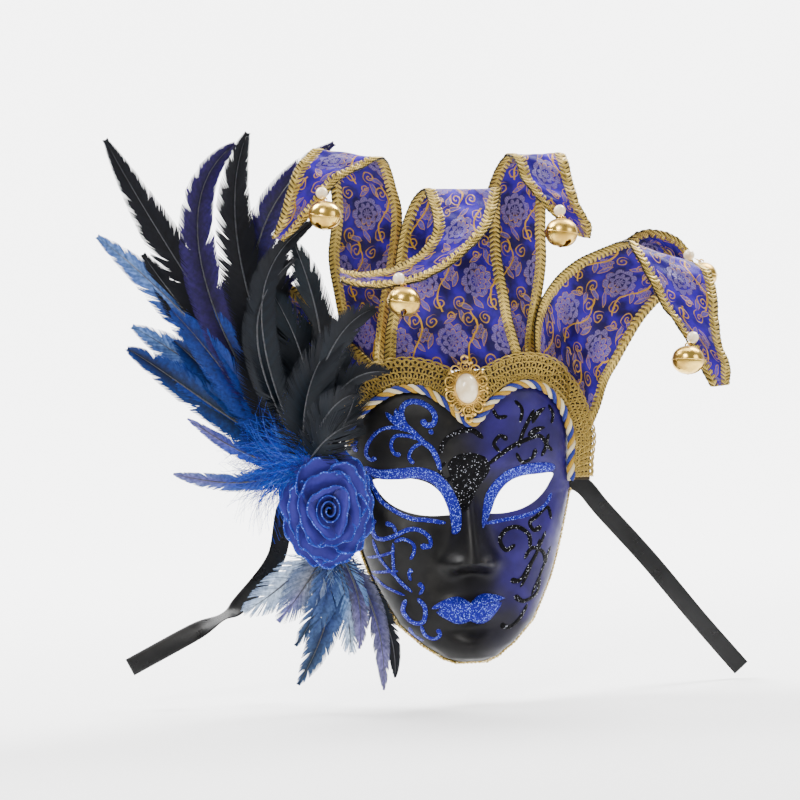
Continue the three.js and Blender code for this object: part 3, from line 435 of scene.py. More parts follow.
# Glitter ornament: blue glitter glue piped as brow bands, lips and scrolls, and black glitter with
# painted white glints as vines and leaves. Each stroke is a low dome that follows the face, drawn in
# the mask's front view in picture units of three quarters of a millimetre.
view_turn, view_rise, view_roll = math.radians(-8), math.radians(3), math.radians(1.5)
view_distance = 1700
unit = 0.75
drawn_middle = (468, 497)
view_back = Vector((
    math.sin(view_turn) * math.cos(view_rise), -math.cos(view_turn) * math.cos(view_rise),
    math.sin(view_rise),
))
level_right = Vector((math.cos(view_turn), math.sin(view_turn), 0))
level_up = view_back.cross(level_right)
view_right = level_right * math.cos(view_roll) - level_up * math.sin(view_roll)
view_up = level_right * math.sin(view_roll) + level_up * math.cos(view_roll)
eye_place = (
    view_back * view_distance + view_right * (400 - drawn_middle[0]) * unit
    + view_up * (drawn_middle[1] - 400) * unit
)


def on_face(across, down):
    """The place on the face seen at a point of the 800 by 800 front view."""
    ray = -view_back * view_distance + view_right * (across - 400) * unit - view_up * (down - 400) * unit
    depth = 0.0
    for _ in range(8):
        spot = eye_place + ray * ((depth - eye_place.y) / ray.y)
        depth = face_back(clamp(spot.x, -86, 86), clamp(spot.z, -chin_drop, brow_rise))
    return spot.x, spot.z


def pipe_stroke(mesh, points, wide, lift, start=0.25, end=0.25, rows=None):
    """A domed stroke through the points, widest in its middle, thin to start and end shares."""
    spots = table("x z w", [
        (*on_face(p[0], p[1]), p[2] if len(p) > 2 else 1.0) for p in points
    ])
    last = len(spots) - 1
    rows = rows or 7 * last + 4

    def place(a, b):
        k = b * last
        x, z = along(spots, "x", k), along(spots, "z", k)
        dx = along(spots, "x", min(k + 0.05, last)) - along(spots, "x", max(k - 0.05, 0))
        dz = along(spots, "z", min(k + 0.05, last)) - along(spots, "z", max(k - 0.05, 0))
        size = math.hypot(dx, dz) or 1.0
        ends = min(smoothstep(b, -0.001, 0.5 / last) + start, smoothstep(1 - b, -0.001, 0.5 / last) + end, 1)
        if b < 1e-6 or b > 1 - 1e-6:
            ends = 0.0
        reach = 0.5 * wide * along(spots, "w", k) * ends * math.cos(math.pi * (1 - a))
        x += reach * dz / size
        z -= reach * dx / size
        dome = math.sqrt(max(0.0, 1 - (2 * a - 1) ** 2)) * min(ends, 1.0)
        z = clamp(z, -chin_drop, brow_rise)
        return x, face_back(x, z) + 0.25 - lift * dome, z

    lay_grid(mesh, 8, rows, place)


glitter_effect, taken, given = new_effect(
    "glitter_flakes",
    [("Place", "NodeSocketVector", None), ("Flakes", "NodeSocketFloat", 1500.0),
     ("Tilt", "NodeSocketFloat", 0.9), ("Ground", "NodeSocketColor", (0, 0, 0, 1)),
     ("Spark", "NodeSocketColor", (1, 1, 1, 1)), ("Share", "NodeSocketFloat", 0.2)],
    [("Color", "NodeSocketColor"), ("Spark Mask", "NodeSocketFloat"), ("Normal", "NodeSocketVector")],
)
cells = glitter_effect.nodes.new("ShaderNodeTexVoronoi")
glitter_effect.links.new(taken.outputs["Place"], cells.inputs["Vector"])
glitter_effect.links.new(taken.outputs["Flakes"], cells.inputs["Scale"])
red, green, blue = split(glitter_effect, cells.outputs["Color"])
amount = Reading(glitter_effect, taken.outputs["Share"])
# Flakes past the share get the glint colour in their base colour, as a painted glint; the other flakes are painted
# darker or lighter one by one, as painted shade of flakes turned from the light.
painted_glint = (red - 1.0 + amount).op("GREATER_THAN", 0.0)
painted_flake_shade = tint(glitter_effect, (green * 0.6 + 0.4), (0.0, 0.0, 0.0), taken.outputs["Ground"])
glitter_effect.links.new(tint(glitter_effect, painted_glint, painted_flake_shade, taken.outputs["Spark"]), given.inputs["Color"])
glitter_effect.links.new(painted_glint.socket, given.inputs["Spark Mask"])
lean = glitter_effect.nodes.new("ShaderNodeVectorMath")
lean.operation = "SUBTRACT"
glitter_effect.links.new(cells.outputs["Color"], lean.inputs[0])
lean.inputs[1].default_value = (0.5, 0.5, 0.5)
spread = glitter_effect.nodes.new("ShaderNodeVectorMath")
spread.operation = "SCALE"
glitter_effect.links.new(lean.outputs[0], spread.inputs[0])
glitter_effect.links.new(taken.outputs["Tilt"], spread.inputs["Scale"])
surface = glitter_effect.nodes.new("ShaderNodeNewGeometry")
joined = glitter_effect.nodes.new("ShaderNodeVectorMath")
joined.operation = "ADD"
glitter_effect.links.new(surface.outputs["Normal"], joined.inputs[0])
glitter_effect.links.new(spread.outputs[0], joined.inputs[1])
even = glitter_effect.nodes.new("ShaderNodeVectorMath")
even.operation = "NORMALIZE"
glitter_effect.links.new(joined.outputs[0], even.inputs[0])
glitter_effect.links.new(even.outputs[0], given.inputs["Normal"])


# Glitter finish: flakes with tilted normals, plus painted glints and painted flake shade in their colour.
def glitter_finish(
    name, ground, painted_glint_colour, share, metallic, roughness, flakes=1500.0, tilt=0.9, gloss=0.3,
):
    material, tree, shader = new_finish(name, roughness, metallic, Specular_IOR_Level=gloss)
    flake = place_effect(
        tree, glitter_effect, Place=object_place(tree), Flakes=flakes, Tilt=tilt,
        Ground=(*ground, 1), Spark=(*painted_glint_colour, 1), Share=share,
    )
    feed(tree, shader, Base_Color=flake.outputs["Color"], Normal=flake.outputs["Normal"])
    return material


# The second colour of each glitter is its painted glint colour.
blue_glitter = glitter_finish(
    "blue_glitter", (0.012, 0.009, 0.28), (0.2, 0.3, 1.0), 0.1, 0.35, 0.4, 2000.0, gloss=0.12,
)
black_glitter = glitter_finish(
    "black_glitter", (0.002, 0.002, 0.003), (0.5, 0.52, 0.6), 0.028, 0.0, 0.45, 2000.0, gloss=0.06,
)

blue_strokes = [
    # brow bands and lid lines
    (9, [(364, 466, 0.3), (378, 474, 0.8), (400, 474), (419, 473), (436, 479), (447, 492),
         (454, 508), (456, 527, 0.7), (452, 534, 0.3)]),
    (9, [(483, 529, 0.3), (487, 510, 0.8), (491, 496), (499, 484), (510, 475),
         (524, 470), (540, 468), (556, 467, 0.7)]),
    (3.2, [(367, 471), (375, 491), (382, 502), (398, 513), (413, 519), (425, 520), (447, 523)]),
    (2.8, [(484, 524), (508, 519), (530, 514), (545, 505), (552, 492)]),
    # forehead scroll
    (4.2, [(422, 419, 1.3), (426, 425), (433, 424), (435, 416), (430, 408), (419, 402), (409, 402), (402, 408),
           (402, 418), (407, 427), (414, 433), (423, 442),
           (431, 448), (437, 459), (441, 473, 0.6)]),
    (2.6, [(410, 431), (398, 428), (386, 428), (376, 433), (368, 444),
           (366, 454), (371, 460), (376, 457, 1.6)]),
    (2.6, [(418, 439), (408, 436), (396, 436), (391, 444), (394, 453), (401, 455, 1.7)]),
    (2.6, [(423, 442), (413, 448), (409, 457), (414, 464, 1.4)]),
    (4.5, [(401, 429, 0.4), (392, 419), (385, 412, 0.3)]),
    (4.5, [(402, 428, 0.4), (397, 417), (396, 408, 0.3)]),
    (3.6, [(429, 430), (433, 434)]),
    (3.0, [(357, 440), (354, 446), (357, 452)]),
    # cheek scrolls and net
    (3.2, [(374, 518, 1.7), (372, 528), (377, 538), (389, 538), (407, 530),
           (419, 530), (429, 537), (430, 546), (420, 546, 1.8)]),
    (2.6, [(385, 523, 1.7), (393, 526), (396, 533)]),
    (2.6, [(394, 542), (403, 539), (413, 544), (414, 552), (410, 560)]),
    (2.0, [(372, 538), (381, 560), (399, 580), (413, 593)]),
    (2.0, [(393, 542), (393, 560), (396, 577), (409, 591)]),
    (2.0, [(366, 557), (380, 556), (395, 551)]),
    (2.0, [(370, 571), (384, 572), (399, 571)]),
    (2.0, [(371, 574), (386, 587), (406, 596)]),
    (2.4, [(412, 569, 1.8), (409, 574), (411, 581)]),
    (2.4, [(418, 583, 1.8), (423, 588), (419, 595)]),
    (3.2, [(406, 599), (403, 611), (412, 622), (423, 622), (425, 608), (417, 598)]),
    (2.6, [(409, 627), (413, 635), (424, 641)]),
    (2.6, [(421, 625), (425, 635), (434, 639), (440, 635), (437, 629, 1.6)]),
    # lips
    (7.5, [(431, 609, 0.2), (444, 604, 0.7), (457, 602), (466, 605, 0.9), (471, 608, 0.6)]),
    (7.5, [(505, 598, 0.2), (494, 598, 0.7), (484, 599), (476, 604, 0.9), (471, 608, 0.6)]),
    (8.0, [(438, 610, 0.3), (453, 611), (471, 612), (488, 609), (500, 601, 0.3)]),
    (8.5, [(436, 612, 0.2), (448, 616, 0.7), (460, 619), (471, 617, 0.8),
           (482, 619), (493, 611, 0.7), (502, 602, 0.2)]),
]
black_strokes = [
    (34, [(470, 452, 0.5), (469, 466), (466, 484, 0.65), (464, 500, 0.35), (464, 512, 0.15)]),
    (4.0, [(439, 455), (445, 441), (456, 433), (471, 430), (484, 439)]),
    (3.4, [(486, 466), (508, 449), (528, 439), (540, 436), (546, 445), (541, 457)]),
    (3.4, [(518, 449), (524, 430), (535, 408)]),
    (4.8, [(532, 424, 0.5), (537, 414), (546, 407, 0.2)]),
    (4.8, [(527, 436, 0.5), (536, 430), (546, 427, 0.2)]),
    (3.0, [(493, 409), (498, 417), (508, 416)]),
    (3.0, [(514, 400), (522, 409), (520, 423)]),
    (3.0, [(549, 433), (547, 444), (553, 451)]),
    (3.4, [(516, 544), (506, 550), (500, 540), (506, 530), (518, 527), (529, 535), (530, 548)]),
    (3.2, [(540, 538), (537, 552), (528, 568), (520, 580), (510, 580, 1.8)]),
    (3.0, [(532, 522), (547, 507), (551, 520)]),
    (3.2, [(540, 576), (537, 592), (524, 601), (514, 595, 1.8)]),
    (3.2, [(528, 603), (520, 618), (509, 627), (500, 624, 1.8)]),
    (3.0, [(446, 462), (440, 470), (445, 480), (452, 478, 1.6)]),
    (3.0, [(500, 452), (494, 444), (500, 436), (508, 440, 1.6)]),
    (3.0, [(516, 452), (522, 462), (532, 458), (536, 448, 1.6)]),
    (3.0, [(548, 404), (553, 414), (551, 424)]),
    (3.2, [(538, 516), (530, 522), (534, 530), (542, 526, 1.6)]),
    (3.2, [(524, 560), (532, 548), (543, 552), (546, 564, 1.6)]),
    (2.6, [(546, 530), (540, 545), (533, 560), (527, 575), (520, 588)]),
    (2.6, [(551, 545), (545, 562), (538, 580), (531, 596)]),
]
piping = bmesh.new()
for wide, points in blue_strokes:
    pipe_stroke(piping, points, wide, 0.95 if wide < 6 else 1.15)
finish_piece("blue_piping", piping, [blue_glitter], crease=80)
piping = bmesh.new()
for wide, points in black_strokes:
    pipe_stroke(piping, points, wide, 0.8)
finish_piece("black_piping", piping, [black_glitter], crease=80)

# Horns: strips of stiffened brocade, violet-blue satin woven with gold scrolls and lilac blooms,
# lined with the same cloth, whose lining copy is painted lighter as painted light. Each rises behind
# the brow, rolls forward over a fold and falls to a tip; the cloth is laid in rows along the strip,
# with soft creases by the fold, and gets its wall.
braid_width = 9
braid_thick = 2.8
clearance = 0.3
cloth_wall = 1.6
strip_columns = "side up ahead broad tilt swing"
horns = [
    dict(name="horn_left", foot=(-0.897, 0.818, 0.174), reach=97, rise=88, overhang=24, breadth=66,
         layer=0.5, hold=0.9, hug=1.7, rows=table(strip_columns, [
             (0.0, 0.0, 0.0, 1.0, -118, 14),
             (-0.18, 0.28, -0.6, 0.85, -122, 16),
             (-0.35, 0.54, -0.7, 0.76, -123, 16),
             (-0.55, 0.76, -0.85, 0.7, -123, 14),
             (-0.73, 0.94, -0.85, 0.62, -123, 12),
             (-0.83, 1.0, -0.76, 0.54, -124, 12),
             (-0.9, 0.97, -0.6, 0.46, -126, 12),
             (-0.95, 0.86, -0.45, 0.38, -134, 12),
             (-0.98, 0.7, -0.36, 0.3, -145, 12),
             (-1.0, 0.5, -0.36, 0.17, -160, 12),
         ])),
    dict(name="horn_upper_left", foot=(-0.828, 1.17, 0.717), reach=70, rise=154, overhang=65, breadth=53,
         layer=2.2, hold=0, hug=0.8, rows=table(strip_columns, [
             (0.0, 0.0, 0.0, 0.6, -32, 0),
             (0.0, 0.28, 0.03, 0.8, -12, 0),
             (0.01, 0.5, 0.14, 1.0, -5, 0),
             (0.05, 0.71, 0.28, 1.0, -1, 0),
             (0.0, 0.86, 0.38, 0.95, -6, 0),
             (-0.08, 0.96, 0.5, 0.97, -8, 0),
             (-0.18, 1.0, 0.66, 0.98, -8, 0),
             (-0.35, 0.96, 0.79, 0.82, -12, 0),
             (-0.54, 0.9, 0.9, 0.64, -16, -3),
             (-0.66, 0.81, 0.95, 0.54, -13, -4),
             (-0.76, 0.73, 0.98, 0.43, -10, -5),
             (-0.86, 0.66, 1.0, 0.31, -9, -8),
             (-0.97, 0.6, 1.0, 0.17, -18, -12),
         ])),
    dict(name="horn_centre", foot=(-0.057, 1.08, 0.13), reach=92, rise=134, overhang=52, breadth=108,
         layer=0, hold=0.9, hug=1.8, rows=table(strip_columns, [
             (0.0, 0.0, 0.0, 1.0, 1, 0),
             (-0.04, 0.25, 0.08, 0.89, 2, 0),
             (-0.05, 0.48, 0.1, 0.79, -1, 0),
             (-0.05, 0.67, 0.08, 0.73, -1, 0),
             (-0.02, 0.84, 0.08, 0.68, 0, 0),
             (0.02, 0.96, 0.17, 0.61, -1, 0),
             (0.05, 1.0, 0.34, 0.54, -1, 0),
             (0.03, 0.91, 0.56, 0.47, -5, -2),
             (-0.01, 0.8, 0.77, 0.38, -8, -6),
             (-0.1, 0.71, 0.9, 0.31, -9, -12),
             (-0.25, 0.62, 0.98, 0.27, -16, -22),
             (-0.45, 0.55, 1.0, 0.24, -28, -33),
             (-0.67, 0.52, 0.96, 0.21, -42, -38),
             (-0.86, 0.52, 0.88, 0.17, -61, -43),
             (-0.99, 0.55, 0.8, 0.12, -90, -40),
         ])),
    dict(name="horn_upper_right", foot=(0.494, 1.17, 0.674), reach=43, rise=151, overhang=61, breadth=50,
         layer=2.4, hold=0, hug=0.8, rows=table(strip_columns, [
             (0.0, 0.0, 0.0, 0.6, -6, 0),
             (0.0, 0.22, 0.09, 0.78, -10, 0),
             (0.0, 0.48, 0.18, 1.0, -10, 0),
             (0.0, 0.67, 0.24, 0.98, -6, 0),
             (0.07, 0.83, 0.29, 0.91, -10, 0),
             (0.2, 0.94, 0.38, 0.9, -4, 0),
             (0.32, 1.0, 0.49, 0.9, 0, 0),
             (0.39, 0.98, 0.64, 0.82, -3, -1),
             (0.46, 0.87, 0.78, 0.79, -6, -1),
             (0.58, 0.78, 0.89, 0.7, -12, -2),
             (0.74, 0.71, 0.93, 0.6, -10, -2),
             (0.9, 0.65, 0.96, 0.46, -9, -3),
             (1.0, 0.59, 1.0, 0.2, -14, -6),
         ])),
    dict(name="horn_right", foot=(0.897, 0.795, 0.261), reach=110, rise=108, overhang=42, breadth=96,
         layer=0.72, hold=1.3, hug=2.2, rows=table(strip_columns, [
             (0.0, 0.0, 0.0, 0.86, -59, 16),
             (0.06, 0.24, -0.2, 0.92, -52, 14),
             (0.16, 0.5, -0.22, 0.9, -50, 12),
             (0.34, 0.74, -0.22, 0.78, -41, 11),
             (0.51, 0.87, -0.18, 0.68, -37, 9),
             (0.64, 0.96, -0.06, 0.64, -28, 7),
             (0.7, 1.0, 0.14, 0.63, -20, 7),
             (0.74, 0.95, 0.36, 0.64, -14, 5),
             (0.79, 0.8, 0.55, 0.58, -10, 6),
             (0.83, 0.6, 0.7, 0.49, -13, 7),
             (0.88, 0.44, 0.81, 0.39, -20, 6),
             (0.96, 0.25, 0.9, 0.3, -18, 4),
             (1.0, 0.08, 0.96, 0.15, 4, 0),
         ])),
    dict(name="horn_far_right", foot=(0.966, 1.091, 0.855), reach=107, rise=92, overhang=20, breadth=76,
         layer=0, hold=0, hug=0, rows=table(strip_columns, [
             (0.0, 0.0, 0.0, 0.85, -47, 12),
             (0.17, 0.36, -0.5, 0.95, -41, 11),
             (0.37, 0.61, -0.9, 0.86, -37, 9),
             (0.55, 0.79, -1.0, 0.74, -28, 6),
             (0.68, 0.92, -0.9, 0.6, -22, 5),
             (0.7, 0.99, -0.6, 0.47, -23, 6),
             (0.71, 1.01, -0.35, 0.38, -34, 5),
             (0.75, 0.99, -0.2, 0.34, -57, 0),
             (0.83, 0.93, -0.15, 0.36, -79, -4),
             (0.91, 0.83, -0.1, 0.36, -96, -8),
             (0.97, 0.67, -0.1, 0.32, -100, -10),
             (1.0, 0.48, -0.1, 0.18, -96, -12),
         ])),
]


def brow_back(x, z):
    inside = 0.96 * half_face
    return face_back(clamp(x, -inside, inside), min(z, brow_rise))


def horn_point(horn, place, across):
    rows = horn["rows"]
    foot_side, foot_up, foot_back = horn["foot"]
    tilt = math.radians(along(rows, "tilt", place))
    swing = math.radians(along(rows, "swing", place))
    wide = horn["breadth"] * along(rows, "broad", place) * (across - 0.5)
    x = half_face * foot_side + horn["reach"] * along(rows, "side", place) + wide * math.cos(swing) * math.cos(tilt)
    y = face_depth * foot_back - horn["overhang"] * along(rows, "ahead", place) + wide * math.sin(swing)
    z = brow_rise * foot_up + horn["rise"] * along(rows, "up", place) + wide * math.cos(swing) * math.sin(tilt)
    hug = 1 - smoothstep(place, horn["hold"], horn["hug"]) if horn["hug"] else 0
    if hug > 0:
        y = lerp(y, brow_back(x, z) + horn["layer"] * (braid_thick + clearance), hug)
    return Vector((x, y, z))


def horn_normal(horn, place, across):
    step = 0.02
    last = len(horn["rows"]) - 1
    up = horn_point(horn, min(place + step, last), across) - horn_point(horn, max(place - step, 0), across)
    side = horn_point(horn, place, across + step) - horn_point(horn, place, across - step)
    return side.cross(up).normalized()


def crease_lift(horn, place, across):
    """Soft creases in the cloth, deepest past the middle of the strip and none at the foot."""
    last = len(horn["rows"]) - 1
    free = smoothstep(place, horn["hug"] or 0.5, last * 0.55)
    ripple = math.sin(5.3 * place + 7 * across + len(horn["name"])) + 0.6 * math.sin(9.1 * place - 11 * across)
    return 0.45 * free * ripple


class StripWalk:
    """Looks up places along a horn, with its run in millimetres for patterns on the cloth."""

    def __init__(self, horn, steps):
        self.horn = horn
        self.steps = steps
        self.last = len(horn["rows"]) - 1
        self.runs = [0.0]
        self.normals = []
        before = horn_point(horn, 0, 0.5)
        for k in range(steps + 1):
            place = self.last * k / steps
            here = horn_point(horn, place, 0.5)
            if k:
                self.runs.append(self.runs[-1] + (here - before).length)
            before = here
            self.normals.append(horn_normal(horn, place, 0.5))

    def broad(self, b):
        return self.horn["breadth"] * along(self.horn["rows"], "broad", b * self.last)

    def spot(self, across, b, lift):
        k = int(round(b * self.steps))
        place = self.last * b
        lift += crease_lift(self.horn, place, across)
        return horn_point(self.horn, place, across) + self.normals[k] * lift


def bloom_petals(tree, u, v, count, size, rings):
    """Masks of a many-petalled bloom: its scale-like petals, their outlines and hatching."""
    far = (u * u + v * v).op("SQRT")
    turn = v.op("ARCTAN2", u) / (2 * math.pi)
    step = far * (rings / size)
    ring = step.op("FLOOR")
    slice_place = (turn * count + ring * 0.5).part() - 0.5
    inside = slice_place * slice_place * -2.4 + 1.0 - (step - ring)
    whole = far.ramp(size * 0.94, size, 1.0, 0.0)
    hatch = (slice_place * 34.0).sin() * 0.5 + 0.5
    return inside.ramp(0.06, 0.16) * whole, inside.ramp(-0.08, 0.0) * inside.ramp(0.06, 0.14, 1.0, 0.0) * whole, hatch


def vine(tree, u, v, swing, wide):
    """Thin line that winds up a tile from its foot to its head."""
    bend = (v * (2 * math.pi)).sin() * swing
    return (u - bend).size().ramp(wide * 0.6, wide, 1.0, 0.0)


def curl(tree, u, v, centre, size, turns, wide, hand):
    """Spiral line round a centre, out to size."""
    du, dv = u - centre[0], v - centre[1]
    far = (du * du + dv * dv).op("SQRT")
    turn = dv.op("ARCTAN2", du) * (hand / (2 * math.pi))
    line = ((far * (turns / size) - turn).part() - 0.5).size().ramp(0.5 - wide * turns / size, 0.5, 0.0, 1.0)
    return line * far.ramp(size * 0.97, size, 1.0, 0.0)


def leaf(tree, u, v, centre, angle, long, wide):
    """Pointed leaf shape at a centre, turned by angle, with its outline."""
    du, dv = u - centre[0], v - centre[1]
    c, s = math.cos(angle), math.sin(angle)
    p, q = du * c + dv * s, dv * c - du * s
    taper = (p / long) * (p / long)
    inside = (-taper + 1.0).most(0.0) * wide - q.size()
    return inside.ramp(0.0, wide * 0.15), inside.ramp(0.0, wide * 0.14) * inside.ramp(wide * 0.2, wide * 0.36, 1.0, 0.0)


def brocade_finish(name, ground, deep, shift_v):
    material, tree, shader = new_finish(
        name, 0.5, Specular_IOR_Level=0.12,
    )
    place = uv_place(tree)
    u, v, _ = split(tree, place)
    u = u + (speckle(tree, place, 110.0, 1.0) - 0.5) * 0.004
    v = v + (speckle(tree, place, 90.0, 1.0) - 0.5) * 0.004 + shift_v
    tile = 22.0
    row = (v * tile).op("FLOOR")
    shift = (row * 0.5).part()
    tu = (u * tile + shift + 0.5).part() - 0.5
    tv = (v * tile).part() - 0.5
    petals, edges, hatch = bloom_petals(tree, tu, tv, 9, 0.3, 3)
    side_u = (u * tile + shift).part() - 0.5
    side_v = tv - 0.12
    small, small_edges, small_hatch = bloom_petals(tree, side_u, side_v, 6, 0.13, 2)
    gold = vine(tree, tu - 0.36, tv, 0.11, 0.022)
    for spot, size, hand in (
        ((0.34, 0.36), 0.13, 1), ((-0.33, -0.36), 0.13, 1), ((-0.34, 0.34), 0.12, -1),
        ((0.3, -0.36), 0.12, -1), ((0.02, 0.42), 0.08, 1),
    ):
        gold = gold.most(curl(tree, tu, tv, spot, size, 1.7, 0.018, hand))
    fills = petals * 0.0
    for spot, angle in (
        ((0.0, 0.36), 0.6), ((0.02, -0.38), 2.3), ((-0.4, 0.02), 1.2), ((0.41, -0.06), -0.8),
        ((0.2, 0.42), 1.9), ((-0.2, -0.43), -0.4),
    ):
        whole, line = leaf(tree, tu, tv, spot, angle, 0.15, 0.05)
        gold = gold.most(line)
        fills = fills.most(whole)
    gold = gold.most(small_edges).most(edges * speckle(tree, place, 45.0, 1.0).ramp(0.45, 0.6))
    silver = (petals * (hatch * 0.45 + 0.55)).most(small * (small_hatch * 0.5 + 0.4)).most(fills * 0.55)
    fine = (u * 5200.0).sin() * (v * 5200.0).sin()
    slub = speckle(tree, place, 900.0, 2.0)
    # Large noise patches paint the ground toward the deep colour, as painted shade over the cloth; the same patches
    # vary the roughness.
    shade_patches = speckle(tree, place, 48.0, 3.0)
    base = tint(tree, shade_patches.ramp(0.4, 0.62), deep, ground)
    base = tint(tree, (edges * 0.8).most(petals * 0.3), base, (0.006, 0.002, 0.045))
    base = tint(tree, silver * (slub.ramp(0.3, 0.6) * 0.45 + 0.4), base, (0.16, 0.115, 0.27))
    base = tint(tree, gold * (slub.ramp(0.25, 0.6) * 0.2 + 0.8), base, (0.38, 0.2, 0.008))
    relief = gold * 1.2 + silver * 0.8 + fine * 0.12 + slub * 0.2
    feed(
        tree, shader, Base_Color=base, Normal=emboss(tree, relief, 0.7, 0.0005),
        Metallic=(gold * 0.5 + silver * 0.15).least(0.8),
        Roughness=shade_patches.ramp(0.3, 0.7, 0.36, 0.5),
    )
    return material


# The lining is a copy of the same cloth painted lighter, as painted light on the side that shows over the folds.
brocade = brocade_finish("violet_brocade", (0.019, 0.0015, 0.22), (0.005, 0.001, 0.04), 0.0)
brocade_lit_lining = brocade_finish("violet_brocade_lit_lining", (0.026, 0.002, 0.28), (0.011, 0.0015, 0.12), 0.021)


def braid_share(walk, b):
    return min(braid_width / walk.broad(b), 0.42)


strip_steps = {}
for horn in horns:
    walk = StripWalk(horn, 120)
    strip_steps[horn["name"]] = walk
    cloth = bmesh.new()

    def panel_place(a, b):
        inner = 0.55 * braid_share(walk, b)
        return walk.spot(lerp(inner, 1 - inner, a), b, 0)

    def panel_measure(a, b):
        run = walk.runs[int(round(b * walk.steps))]
        return (lerp(-0.5, 0.5, a) * walk.broad(b) * mm, run * mm)

    lay_grid(cloth, 18, walk.steps, panel_place, panel_measure)
    strip = finish_piece(horn["name"] + "_cloth", cloth, [brocade, brocade_lit_lining], [horn["name"]], 80)
    add_wall(strip, cloth_wall, 0, 1)

# Horn braid: gold gimp braid sewn along both edges of each strip, over the cloth's raw edge. The
# weave is raised cords that cross in a herringbone, with scalloped sides where they turn back. Its
# thread is painted dark in the hollows between cords and between the wound threads, as painted shade.
weave_pitch = 3.5

gold_effect, taken, given = new_effect(
    "metal_thread",
    [("Place", "NodeSocketVector", None), ("Relief", "NodeSocketFloat", 1.0),
     ("Light", "NodeSocketColor", (1, 1, 1, 1)), ("Dark", "NodeSocketColor", (0, 0, 0, 1)),
     ("Threads", "NodeSocketFloat", 5200.0)],
    [("Color", "NodeSocketColor"), ("Height", "NodeSocketFloat")],
)
u, v, _ = split(gold_effect, taken.outputs["Place"])
threads = Reading(gold_effect, taken.outputs["Threads"])
wind = ((u * 0.8 + v) * threads).sin() * 0.5 + 0.5
relief = Reading(gold_effect, taken.outputs["Relief"])
patch = speckle(gold_effect, taken.outputs["Place"], 240.0, 2.0)
# The thread colour goes to the dark colour where the relief is low and between the wound threads: painted shade in the
# braid's hollows.
painted_shade_mix = relief.ramp(0.3, 0.9) * (wind * 0.7 + 0.3) * patch.ramp(0.2, 0.7, 0.6, 1.0)
gold_effect.links.new(tint(gold_effect, painted_shade_mix, taken.outputs["Dark"], taken.outputs["Light"]), given.inputs["Color"])
gold_effect.links.new((wind * 0.6 + patch * 0.5).socket, given.inputs["Height"])


def thread_finish(name, light, dark, metallic, roughness, threads=5200.0):
    material, tree, shader = new_finish(name, roughness, metallic)
    mark = tree.nodes.new("ShaderNodeAttribute")
    mark.attribute_name = "relief"
    thread = place_effect(
        tree, gold_effect, Place=uv_place(tree), Relief=Reading(tree, mark.outputs["Fac"]),
        Light=(*light, 1), Dark=(*dark, 1), Threads=threads,
    )
    feed(
        tree, shader, Base_Color=thread.outputs["Color"],
        Normal=emboss(tree, Reading(tree, thread.outputs["Height"]), 0.5, 0.0002),
    )
    return material


gold_thread = thread_finish("gold_thread", (0.66, 0.46, 0.1), (0.008, 0.005, 0.001), 0.7, 0.36)


def mark_relief(piece, heights):
    layer = piece.data.attributes.new("relief", "FLOAT", "POINT")
    layer.data.foreach_set("value", heights)


def herringbone(a, run):
    """How high the braid's cords stand at a share across and a run along, from 0 to 1."""
    side = abs(2 * a - 1)
    phase = run / weave_pitch + 0.8 * side
    cord = abs(math.sin(math.pi * phase))
    spine = 0.55 * gauss(side, 0.16)
    edge = smoothstep(1 - side, 0, 0.2)
    return clamp((0.95 * cord ** 0.7 + spine) * (0.35 + 0.65 * edge))


for horn in horns:
    walk = strip_steps[horn["name"]]
    length = walk.runs[-1]
    fine = StripWalk(horn, int(length / 0.62))
    for end, flip in (("_braid_a", False), ("_braid_b", True)):
        braid = bmesh.new()
        heights = []

        def braid_place(a, b):
            share = braid_share(fine, b)
            run = fine.runs[int(round(b * fine.steps))]
            scallop = 0.5 * abs(math.sin(math.pi * run / weave_pitch)) * (2 * a - 1) / fine.broad(b)
            across = lerp(0.04, 0.96, a) * share + scallop
            across = 1 - across if flip else across
            return fine.spot(across, b, 0)

        def braid_measure(a, b):
            return (a * braid_width * mm, fine.runs[int(round(b * fine.steps))] * mm)

        made = lay_grid(braid, 10, fine.steps, braid_place, braid_measure)
        bmesh.ops.recalc_face_normals(braid, faces=braid.faces)
        layer = braid.loops.layers.uv.active
        relief = {}
        for face in braid.faces:
            for loop in face.loops:
                a, run = loop[layer].uv.x / mm / braid_width, loop[layer].uv.y / mm
                relief[loop.vert.index] = herringbone(a, run)
        heights = [relief[k] for k in range(len(braid.verts))]
        piece = finish_piece(
            horn["name"] + end + "_gimp", braid, [gold_thread], [horn["name"] + end], 80,
        )
        mark_relief(piece, heights)
        wall = add_wall(piece, braid_thick, 0)
        group = piece.vertex_groups.new(name="raised")
        for k, height in enumerate(heights):
            group.add([k], 0.25 + 0.75 * height, "REPLACE")
        wall.vertex_group = "raised"

# Lace band: dense gold gimp laid over the horns' feet above the rope. Looped cords run along it in
# rows, the top row standing free, over a flat woven tape painted dark as shade under the loops.
brow_line = table("side up", [
    (-0.985, 0.46), (-0.91, 0.65), (-0.74, 0.83), (-0.54, 0.92), (-0.34, 0.9), (-0.17, 0.79),
    (0.03, 0.63), (0.24, 0.81), (0.45, 0.92), (0.65, 0.91), (0.81, 0.79), (0.91, 0.6),
    (0.965, 0.35), (0.965, 0.08),
])
brow_places = len(brow_line) - 1
rope_radius = 3.2
band_thick = 1.6
band_width = 20
band_stand = braid_thick / 2 + 3 * clearance
band_shares = table("wide", [
    (0.5,), (0.9,), (1.0,), (1.0,), (1.0,), (1.1,), (1.5,), (1.1,), (1.0,), (1.0,), (0.9,),
    (0.75,), (0.7,), (0.6,),
])


